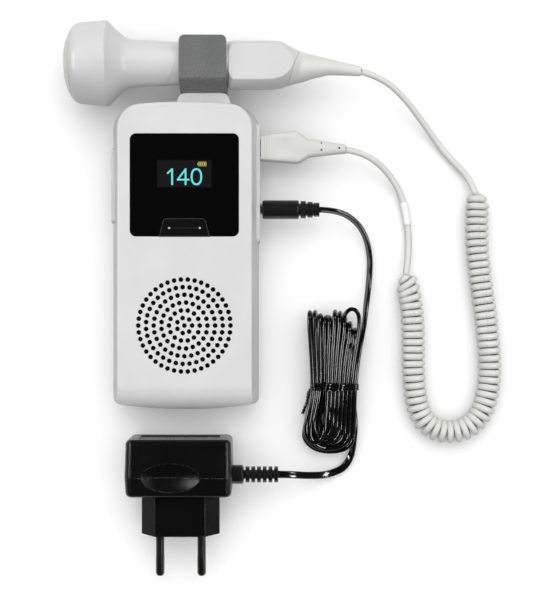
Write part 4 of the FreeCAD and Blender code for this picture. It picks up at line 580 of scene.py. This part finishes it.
# probe: window, turned body, grip and boot; the boot meets the grip at a grooved seam
seam, groove = 49.8, 0.28
probe = {
    "axis": (86.8, 19.6), "columns": 128, "step": 0.3, "profileSoft": 0.35,
    # place and radius
    "window": [(-53.7, 0.02), (-53.7, 8.2), (-53.55, 9.6), (-53.1, 11.2), (-52.4, 12.9),
               (-51.5, 14.5), (-50.62, 15.95), (-50.55, 15.9)],
    "body": [(-50.5, 15.8), (-50.5, 16.15), (-49.9, 16.75), (-49.0, 17.45), (-47.8, 17.95),
             (-46, 18.25), (-42, 18.6), (-38, 18.9), (-35.8, 19.05), (-35.0, 19.0), (-34.4, 18.7),
             (-33.9, 18.2), (-33.2, 17.35), (-32.2, 16.25), (-30.8, 14.9), (-29.3, 13.55),
             (-28, 12.45), (-26.8, 11.65), (-25.5, 11.05), (-24, 10.7), (-22, 10.5), (-18, 10.32),
             (-12, 10.14), (-6.4, 10.02), (-5.9, 9.98), (-5.4, 9.84), (-5.1, 9.72), (0, 9.7),
             (10, 9.7), (19.2, 9.7), (19.6, 9.6)],
    # the handle's end: its place, the reach of its bow, shift and depth of the bow
    "waist": (-5.6, 5.0, 1.4, 4.6),
    "face": 9.9, "lean": 0.362, "leanReach": 10.0, "leanPower": 0.8, "leanRounds": 5,
    # place along the probe, far edge, near edge, half height
    "rear": [(19.4, 9.9, -11.4, 10.1), (21.8, 10, -11.7, 14.2), (38.6, 10, -11.7, 14.2),
             (43, 9.85, -11.05, 13.5), (46, 8.2, -10.2, 11.9), (47.25, 7.3, -9.74, 11.1),
             (49.5, 6.3, -9.2, 9.5), (52.66, 4.83, -8.5, 6.95), (58.07, 3.57, -6.76, 5.2),
             (64.4, 2.13, -5.36, 3.75), (72.05, 0.3, -5.5, 2.95), (79.3, -1.35, -5.81, 2.23)],
    "rearSoft": 1.1, "rearStart": (5.0, -8.0),
    # columns beside and over the flat's rim, the gap that they keep from it, its steepest angle
    "rim": (13, 9, 0.03, 1.3),
    "grip": [19.6, 19.7, 19.85, (20.0, 23.0, 16), (23.6, 40.0, 18), (40.4, seam - 0.4, 34),
             seam - 0.2, seam - 0.08, seam - 0.03],
    "gripInset": [(19.6, 0.3), (19.9, 0), (seam - 0.25, 0), (seam - 0.08, 0.1),
                  (seam - 0.03, groove)],
    "boot": [seam + 0.03, seam + 0.08, seam + 0.2, (seam + 0.4, 60.0, 34), (60.6, 78.7, 34), 79.0,
             79.2, 79.3],
    "bootInset": [(seam + 0.03, groove), (seam + 0.08, 0.12), (seam + 0.25, 0), (78.8, 0),
                  (79.2, 0.12), (79.3, 0.4)],
}


def turned(profile, told):
    # radius over place turned round the axis; the handle's end bows back by depth * cos^2 of the angle
    places, radii = refined(profile, told).T
    turn = fullTurn(told["columns"])
    c, s = np.cos(turn)[None, :], np.sin(turn)[None, :]
    end, reach, shift, bow = told["waist"]
    near = np.exp(-((places - end) / reach) ** 2)[:, None]
    x = places[:, None] + near * (shift - bow * c ** 2)
    y, z = told["axis"]
    return np.stack(np.broadcast_arrays(x, y + radii[:, None] * c, z + radii[:, None] * s), -1)


def refined(profile, told):
    # more rows on the same profile, rounded where it turns
    profile = np.array(profile)
    along = travelled(profile)
    spots = np.linspace(0, along[-1], int(along[-1] / told["step"]))
    rows = np.column_stack(smoothTable(spots, np.column_stack([along, profile]), told["profileSoft"]))
    rows[0], rows[-1] = profile[0], profile[-1]
    return rows


def rearSkin(told, rows, insets):
    # y = middle + half * cos, z = high * sin cut flat at the face, so that columns meet the flat's rim;
    # x = u + lean * y round the seam, so each edge is read where the lean takes it, in a few rounds
    u = spaced(rows)
    inset = np.interp(u, *np.array(insets).T)
    lean = told["lean"] * np.clip(1 - np.abs(u - seam) / told["leanReach"], 0, 1) ** told["leanPower"]
    far, near = (np.full(len(u), edge) for edge in told["rearStart"])
    for _ in range(told["leanRounds"]):
        far = smoothTable(u + lean * far, told["rear"], told["rearSoft"])[0]
        near = smoothTable(u + lean * near, told["rear"], told["rearSoft"])[1]
    high = smoothTable(u, told["rear"], told["rearSoft"])[2] - inset
    middle, half = (far + near) / 2, (far - near) / 2 - inset
    face = told["face"] - inset
    beside, over, gap, steepest = told["rim"]
    rim = np.minimum(np.arcsin(np.minimum(face / high, 1)), steepest)[:, None]
    first = np.concatenate([np.linspace(0, 1, beside)[None, :] * (rim - gap), rim, rim + gap
                            + np.linspace(0, 1, over)[None, :] * (math.pi / 2 - rim - gap)], 1)
    upper = np.concatenate([first, math.pi - first[:, -2::-1]], 1)
    turn = np.concatenate([upper, upper[:, 1:-1] + math.pi], 1)
    y = middle[:, None] + half[:, None] * np.cos(turn)
    z = np.clip(high[:, None] * np.sin(turn), -face[:, None], face[:, None])
    axisY, axisZ = told["axis"]
    return np.stack([u[:, None] + lean[:, None] * y, axisY + y, axisZ + z], -1)


def probePiece(name, skin, finish):
    return addPiece(name, skin, gridFaces(*skin.shape[:2]), finish, "probe")


def addProbe(told):
    piece = probePiece("probeBody", turned(told["body"], told), "probeWhite")
    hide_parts("probe_body")
    piece = probePiece("probeWindow", turned(told["window"], told), "windowIvory")
    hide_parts("probe_window")
    piece = probePiece("probeGrip", rearSkin(told, told["grip"], told["gripInset"]), "probeWhite")
    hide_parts("probe_grip")
    piece = probePiece("probeBoot", rearSkin(told, told["boot"], told["bootInset"]), "cordIvory")
    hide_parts("probe_boot")


addProbe(probe)
print("probe")

# display: panel, figures, battery sign and the marks on the power button
display = {
    "face": 26.0,
    # the panel: middle, width and height; its back and front, and the top of the signs, above the face
    "panel": (0.0, 36.45, 24.3, 12.1), "levels": (-0.1, 0.015, 0.06),
    # strokes: start, end, width; the nought: middle, width, height, stroke
    "figures": [((-5.45, 38.48), (-5.45, 31.72), 0.84), ((-5.45, 38.48), (-7.45, 36.7), 0.756),
                ((0.55, 38.48), (0.55, 31.72), 0.84), ((0.55, 38.48), (-3.0, 33.8), 0.756),
                ((-3.0, 33.8), (1.9, 33.8), 0.756)],
    "nought": ((5.4, 35.1), 5.1, 7.6, 0.84), "noughtSides": 40, "noughtPower": 2.3,
    "battery": [((6.35, 39.95), (9.75, 39.95), 0.24), ((6.35, 41.6), (9.75, 41.6), 0.24),
                ((9.75, 39.95), (9.75, 41.6), 0.24), ((6.35, 39.95), (6.35, 41.6), 0.24),
                ((5.95, 40.6), (5.95, 40.95), 0.312), ((7.1, 40.5), (7.1, 41.05), 0.62),
                ((8.1, 40.5), (8.1, 41.05), 0.62), ((9.1, 40.5), (9.1, 41.05), 0.62)],
    "roundEnd": 9,
    # on the button: domes with their radius, foot and rise, and the slot between them
    "button": 26.3, "dots": [(-6.76, 12.2), (6.93, 12.2)], "dome": (0.52, -0.02, 0.22),
    "domeGrid": (7, 20), "domeTop": 0.98,
    "slot": ((-5.56, 12.2), (5.73, 12.2), 0.24), "slotLevels": (-0.05, 0.03),
}


def bar(start, end, width, low, high):
    # flat bar with round ends, as two rings of points, low and high
    start, end = np.array(start, float), np.array(end, float)
    ahead = (end - start) / np.linalg.norm(end - start)
    side = np.array([-ahead[1], ahead[0]])
    turn = np.linspace(-math.pi / 2, math.pi / 2, display["roundEnd"])[:, None]
    reach = width / 2 * (np.cos(turn) * ahead + np.sin(turn) * side)
    flat = np.concatenate([end + reach, start - reach])
    return np.stack([np.column_stack([flat, np.full(len(flat), z)]) for z in (low, high)]), False


def ovalRing(middle, across, tall, width, low, high):
    # rings: low outer, high outer, high inner, low inner of a flat oval figure
    way = np.stack(oval(fullTurn(display["noughtSides"]), display["noughtPower"]), 1)
    rings = []
    for grow, z in ((0, low), (0, high), (-width, high), (-width, low)):
        flat = np.array(middle) + way * (np.array([across, tall]) / 2 + grow)
        rings.append(np.column_stack([flat, np.full(len(way), z)]))
    return np.stack(rings), True


def dome(told, x, y):
    # rings of a low dome: radius * cos and rise * sin of the climb
    radius, foot, rise = told["dome"]
    rows, cols = told["domeGrid"]
    climb = np.linspace(0, told["domeTop"], rows)[:, None] * math.pi / 2
    turn = fullTurn(cols)
    spread = radius * np.cos(climb)
    rings = (x + spread * np.cos(turn), y + spread * np.sin(turn),
             told["button"] + foot + rise * np.sin(climb))
    return np.stack(np.broadcast_arrays(*rings), -1), False


def addDisplay(told):
    back, low, high = (told["face"] + level for level in told["levels"])
    x, y, wide, tall = told["panel"]
    corners = [(x + i * wide / 2, y + j * tall / 2) for i, j in ((-1, -1), (1, -1), (1, 1), (-1, 1))]
    plate = np.stack([np.column_stack([corners, np.full(4, z)]) for z in (back, low)])
    addPiece("displayPanel", plate, gridFaces(2, 4), "windowBlack", smooth=False)
    figures = [bar(*stroke, low, high) for stroke in told["figures"]]
    points, faces = gathered([*figures, ovalRing(*told["nought"], low, high)])
    addPiece("displayFigures", points, faces, "digitCyan", smooth=False)
    points, faces = gathered([bar(*stroke, low, high) for stroke in told["battery"]])
    addPiece("displayBattery", points, faces, "batteryAmber", smooth=False)
    points, faces = gathered([dome(told, x, y) for x, y in told["dots"]])
    addPiece("powerDots", points, faces, "dotGrey", "power_button")
    points, faces = gathered([bar(*told["slot"], *(told["button"] + z for z in told["slotLevels"]))])
    addPiece("powerSlot", points, faces, "slotGrey", "power_button", smooth=False)


addDisplay(display)
print("display")

# probe cord: a lead, the curly part and the lead to the socket, with a sleeve on the last
probeCord = {
    "wire": 3.0, "bevel": 3, "steps": 3,
    "lead": [(79.3, 83.2, 19.6), (88.5, 81.1, 17.4), (99.6, 73.0, 11), (109.4, 61.5, 5),
             (119.1, 48.4, 2), (130.0, 37.6, 3), (134.4, 29.4, 5.5)],
    "curl": [(134.4, 29.4, 5.5), (133.2, 12.8, 5.5), (135.2, -9.3, 5.5), (138.9, -33.8, 5.5),
             (140.3, -59.2, 5.5), (134.3, -76.9, 5.5), (120.4, -82.2, 5.5), (107.7, -76.0, 5.5),
             (104.2, -56.9, 5.5), (104.6, -33.8, 5.5), (103.2, -18.6, 5.5), (100.8, -8.8, 5.5)],
    "socket": [(72.8, 48.6, 13), (79.0, 47.8, 12.6), (88.0, 43.2, 9.4), (95.2, 35.8, 5.2),
               (99.9, 27.0, 2.6), (102.4, 14.4, 1.8), (102.6, 2.4, 2.4), (100.8, -8.8, 5.5)],
    "curlSteps": 24, "coilRadius": 3.9, "turns": 60, "perTurn": 14, "phase": 0.15,
    # growth of the radius for a spline's cut corners, turns that the ends take to open, points left out
    "cornerPower": 1.2, "ends": 1.2, "endPower": 0.5, "trim": 2,
    # pitch kept for the far half of a turn; lean of the last turns and how many lean
    "square": 0.7, "lastLean": 0.6, "leanTurns": 4.0,
    # the sleeve: its span in Y on the lead right of an X, its radius, sides and end size
    "sleeve": (14.0, 25.5), "sleeveFrom": 90, "sleeveRadius": 1.82, "sleeveSides": 24,
    "sleeveSteps": 12, "sleeveEnd": 0.9,
}


def curlyRoute(told):
    # lead, helix and lead as one run of points; helix = axis + r (cos a * side + sin a * up), a
    # running backwards
    axis = followed("axis", told["curl"], told["curlSteps"])
    along, turns = travelled(axis), told["turns"]
    share = np.linspace(0, 1, turns * told["perTurn"])
    angle = -2 * math.pi * share * turns + math.pi * told["phase"]
    # the far half of each turn takes most of the pitch, so the near half lies square to the axis
    swing = told["square"] * along[-1] / turns / 4
    place = np.clip(share * along[-1] - swing * np.cos(angle), 0, along[-1])
    centre = sampled(place, along, axis)
    ahead = unit(np.gradient(centre, axis=0))
    up = np.array([0.0, 0.0, 1.0])
    side = unit(np.cross(ahead, up))
    spread = told["coilRadius"] / math.cos(math.pi / told["perTurn"]) ** told["cornerPower"]
    grow = np.clip(np.minimum(share, 1 - share) * turns / told["ends"], 0, 1) ** told["endPower"]
    lean = told["lastLean"] * np.clip(1 - (1 - share) * turns / told["leanTurns"], 0, 1)
    ring = (np.cos(angle)[:, None] * (side + lean[:, None] * ahead)
            + np.sin(angle)[:, None] * up)
    helix = (centre + spread * grow[:, None] * ring)[told["trim"]:-told["trim"]]
    return np.concatenate([told["lead"][:-1], helix, told["socket"][:-1][::-1]])


def addSleeve(told):
    # circle carried along a stretch of the lead, drawn in at both ends
    lead = followed("socketLead", told["socket"], told["sleeveSteps"])
    low, high = told["sleeve"]
    part = lead[(lead[:, 1] > low) & (lead[:, 1] < high) & (lead[:, 0] > told["sleeveFrom"])]
    upright = np.tile([0.0, 0, 1], (len(part), 1))
    skin = carryProfile(part, upright, ringProfile(told["sleeveRadius"], told["sleeveSides"]))
    share = np.ones((len(part), 1, 1))
    share[[0, -1]] = told["sleeveEnd"]
    skin = part[:, None] + (skin - part[:, None]) * share
    return addPiece("cordSleeve", skin, gridFaces(*skin.shape[:2]), "sleeveWhite")


def addProbeCord(told):
    line = layLine("probeCord", curlyRoute(told), told["steps"])
    path = readLine(line)
    line.data.bevel_depth = told["wire"] / 2 * mm
    line.data.bevel_resolution = told["bevel"]
    line.data.use_fill_caps = True
    piece = asMesh(line, "probeCord", "cordIvory")
    length = float(travelled(path)[-1]) * mm
    sleeve = addSleeve(told)
    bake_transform(piece)
    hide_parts("probe_cord_upper", "probe_cord_curl", "probe_cord_lower")
    print("probe cord", round(length, 3))


addProbeCord(probeCord)

# supply cord: two leads and a tied hank, wound as passes down one leg, round the foot, up the other
# and over the top
supplyCord = {
    "wide": 3.35, "thick": 2.05, "steps": 6, "tie": -59.8,
    "upper": [(60.8, 21.3, 13), (66.7, 21.2, 12.4), (74.7, 18.8, 9), (81.6, 12.2, 4.6),
              (84.9, 1.2, 2.2), (84.2, -12.0, 2.6), (82.6, -22.6, 6.5)],
    "lower": [(75.2, -96.6, 1.9), (65.6, -101.2, 2.2), (55.5, -100.7, 8), (48.4, -99.6, 12.8),
              (41.9, -99.3, 14)],
    # the leg down and the leg up: X at the top, tie and foot, then Z there; Y of the foot; Y of the top
    "passes": [
        ((81.2, 77.2, 76.6, 9.0, 10.3, 7.6), (71.6, 59.8, 53.8, 7.2, 3.6, 3.5), -90.0, "open"),
        ((79.2, 75.3, 74.6, 11.3, 10.4, 8.4), (78.2, 62.9, 54.2, 3.6, 7.0, 6.9), -88.5, -35.2),
        ((76.9, 73.4, 72.6, 10.9, 10.4, 8.8), (75.7, 65.2, 55.9, 3.6, 3.6, 3.6), -87.0, -32.2),
        ((74.6, 71.5, 70.7, 11.2, 10.4, 9.2), (73.4, 67.4, 56.4, 3.6, 7.0, 7.0), -85.5, -29.9),
        ((72.3, 69.6, 68.8, 10.8, 10.4, 9.5), (71.1, 69.6, 58.0, 3.6, 3.6, 3.6), -84.0, -27.4),
        ((70.0, 67.8, 67.0, 11.2, 10.4, 9.8), (68.8, 71.8, 59.6, 3.6, 7.0, 7.0), -82.3, -26.9),
        ((67.7, 66.1, 65.2, 10.9, 10.4, 10.0), (56.9, 58.6, 61.2, 6.9, 3.6, 3.6), -80.4, -27.2),
        ((56.2, 57.9, 54.6, 11.2, 10.4, 10.2), (65.4, 64.4, 63.4, 11.0, 10.4, 10.2), -85.4, -29.4),
        ((64.2, 72.8, 74.0, 3.6, 7.0, 3.6), (58.5, 59.6, 56.4, 11.2, 10.4, 10.2), -88.2, -27.0),
        ((59.6, 74.0, 71.5, 3.6, 3.6, 3.6), (60.8, 61.2, 58.3, 11.0, 10.4, 10.2), -85.0, -28.6),
        ((62.0, 75.2, 76.4, 7.0, 7.0, 5.2), (63.1, 62.8, 60.4, 10.2, 9.6, 8.2), -86.8, -29.2),
    ],
    # tops of the first leg down, of the leg up to the open loop and of the leg down from it
    "firstTop": -30.0, "openTop": -31.5, "openEnd": -29.0,
    "open": [(71.8, -31.5, 9.8), (72.2, -26.4, 11.6), (75.4, -23.4, 11.9), (78.9, -25.6, 11.8)],
    "exit": (66.4, 76.4, 78.3, 3.6, 3.8, 4.5), "exitFoot": -89.5,
    # a leg's rows: below its top, shoulder, tie, hip, above its foot; and how far each is down the leg
    "legEnds": (4.5, 9.5), "shoulder": -44.5, "hip": -69.0, "legShares": (0, 0.55, 1, 1.45, 2),
    # the turn round the foot: share of the way across, height over the foot, share of the way in Z
    "footTurn": [(0.02, 3.6, 0), (0.28, 0, 0.3), (0.72, 0.2, 0.7), (0.98, 4.6, 1)],
    "fold": 1.3, "foldLean": 0.7,
    # the upper lead lies on its narrow side: how much of its wide side is level and how much upright
    "upperLean": (0.45, 0.9),
    # section: points round it, steepness of the step from core to core, share and width of the groove
    "sectionPoints": 22, "coreTurn": 3, "groove": (0.4, 0.2),
}


def legPoints(told, leg, top, foot):
    # five points of one leg from the top to the foot
    below, above = told["legEnds"]
    y = [top - below, told["shoulder"], told["tie"], told["hip"], foot + above]
    x, z = (np.interp(told["legShares"], [0, 1, 2], ends) for ends in (leg[:3], leg[3:]))
    return np.stack([x, y, z], 1)


def hankRoute(told):
    # control points, and beside each the way of the cord's wide side: upright on the legs, turned by
    # half over a top fold
    points, ways = [], []
    sign, top = 1.0, told["firstTop"]

    def lay(rows, way):
        points.extend(np.asarray(rows, float).tolist())
        ways.extend([way] * len(rows) if np.ndim(way) == 1 else way)

    overs = [turn[0] for turn in told["passes"][1:]] + [told["exit"]]
    for (down, up, foot, nextTop), over in zip(told["passes"], overs):
        upright = [0, 0, sign]
        lay(legPoints(told, down, top, foot), upright)
        lay([(down[2] + across * (up[2] - down[2]), foot + rise, down[5] + climb * (up[5] - down[5]))
             for across, rise, climb in told["footTurn"]], upright)
        if nextTop == "open":
            lay(legPoints(told, up, told["openTop"], foot)[::-1], upright)
            lay(told["open"], upright)
            top = told["openEnd"]
            continue
        top = nextTop
        lay(legPoints(told, up, top, foot)[::-1], upright)
        back, lean = -sign * math.copysign(1, over[3] - up[3]), told["foldLean"]
        middle = ((up[0] + over[0]) / 2, top + told["fold"], (up[3] + over[3]) / 2)
        lay([(up[0], top, up[3]), middle, (over[0], top, over[3])],
            [[0, lean * back, lean * sign], [0, back, 0], [0, lean * back, -lean * sign]])
        sign = -sign
    lay(legPoints(told, told["exit"], top, told["exitFoot"]), [0, 0, sign])
    return np.array(points), np.array(ways)


def twoCores(told):
    # section of a two-core cord: two round halves with a groove between them
    count, half = told["sectionPoints"], told["thick"] / 2
    turn = fullTurn(count) + math.pi / count
    c, (deep, span) = np.cos(turn), told["groove"]
    along = (told["wide"] / 2 - half) * np.clip(c * told["coreTurn"], -1, 1) + half * c
    return np.stack([along, half * np.sin(turn) * (1 - deep * np.exp(-(c / span) ** 2))], 1)


def flatWays(points):
    # the wide side level: square to the run and to Z
    ahead = np.gradient(np.array(points, float), axis=0)
    return unit(np.stack([-ahead[:, 1], ahead[:, 0], ahead[:, 0] * 0], 1))


def addSupplyCord(told, tie):
    hank, hankWays = hankRoute(told)
    route = np.concatenate([told["upper"], hank, told["lower"]])
    level, upright = told["upperLean"]
    upperWays = flatWays(told["upper"]) * level + np.array([0, 0, upright])
    ways = np.concatenate([upperWays, hankWays, flatWays(told["lower"])])
    path = followed("supplyCord", route, told["steps"])
    wide = followed("supplyWay", route + ways, told["steps"]) - path
    skin = carryProfile(path, wide, twoCores(told))
    piece = addPiece("supplyCord", skin, gridFaces(*skin.shape[:2]), "cordBlack")
    length = float(travelled(path)[-1]) * mm
    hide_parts("supply_cord_upper", "supply_hank", "supply_cord_lower")
    print("supply cord", round(length, 3))


# tie of the hank: three turns of coated wire, twisted at the left, with a tail
hankTie = {
    "middle": (67.95, 7.05), "half": (10.45, 6.1), "power": 9.0, "wireRadius": 0.66, "wireSides": 10,
    # the turns along the hank; samples of a turn, and the even steps that it is cut into
    "turns": (-1.05, 0.0, 1.08), "samples": 2001, "steps": 360,
    # bumps on the top: places, height, width, and how much further along each next turn
    "bumps": (64.4, 70.3), "bump": (0.5, 0.95, 0.25),
    # sway of a turn along the hank: waves and height
    "sway": (3, 0.2),
    "tail": [(57.6, -60.2, 10.5), (56.2, -61.3, 9.6), (55.6, -63.8, 7.6), (55.4, -67.2, 4.6),
             (53.9, -71.0, 2.2), (53.4, -72.6, 1.8)],
    "tailSteps": 12, "tailSides": 8, "twist": 0.42, "twistTurns": 4.5, "tailWay": (1.0, 0, 0.2),
}


def tieTurns(told):
    # a turn: superellipse round the strands in even steps, with round bumps on its top
    loop = np.stack(oval(np.linspace(0, 2 * math.pi, told["samples"]), told["power"]), 1) * told["half"]
    along = travelled(loop)
    spots = np.linspace(0, 1, told["steps"], endpoint=False)
    loop = sampled(spots * along[-1], along, loop)
    ahead = unit(np.roll(loop, -1, 0) - np.roll(loop, 1, 0))
    out = np.stack([ahead[:, 1], -ahead[:, 0]], 1)
    section = ringProfile(told["wireRadius"], told["wireSides"])
    middleX, middleZ = told["middle"]
    high, width, shift = told["bump"]
    waves, sway = told["sway"]
    for k, y in enumerate(told["turns"]):
        bumps = sum(np.exp(-((loop[:, 0] + middleX - x - shift * k) / width) ** 2)
                    for x in told["bumps"])
        x, z = (loop + out * (high * bumps * (loop[:, 1] > 0))[:, None]).T
        swayed = supplyCord["tie"] + y + sway * np.sin(waves * 2 * math.pi * spots + k)
        around = np.stack([middleX + x, swayed, middleZ + z], 1)
        run = unit(np.roll(around, -1, 0) - np.roll(around, 1, 0))
        away = np.stack([out[:, 0], 0 * out[:, 0], out[:, 1]], 1)
        away = unit(away - (away * run).sum(1)[:, None] * run)
        side = np.cross(run, away)
        yield (around[:, None] + section[None, :, :1] * away[:, None]
               + section[None, :, 1:] * side[:, None]), True


def tieTail(told):
    # two wires wound round a line
    line = followed("tieTail", told["tail"], told["tailSteps"])
    way = np.tile(told["tailWay"], (len(line), 1))
    angle = np.linspace(0, 2 * math.pi * told["twistTurns"], len(line))[:, None]
    across = carryProfile(line, way, told["twist"] * np.eye(2)) - line[:, None]
    for k in (0, math.pi):
        wound = line + np.cos(angle + k) * across[:, 0] + np.sin(angle + k) * across[:, 1]
        yield carryProfile(wound, way, ringProfile(told["twist"], told["tailSides"])), False


def addTie(told):
    points, faces = gathered([*tieTurns(told), *tieTail(told)])
    piece = addPiece("hankTie", points, faces, "tieBlack")
    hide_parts("hank_tie")
    return piece


addSupplyCord(supplyCord, addTie(hankTie))
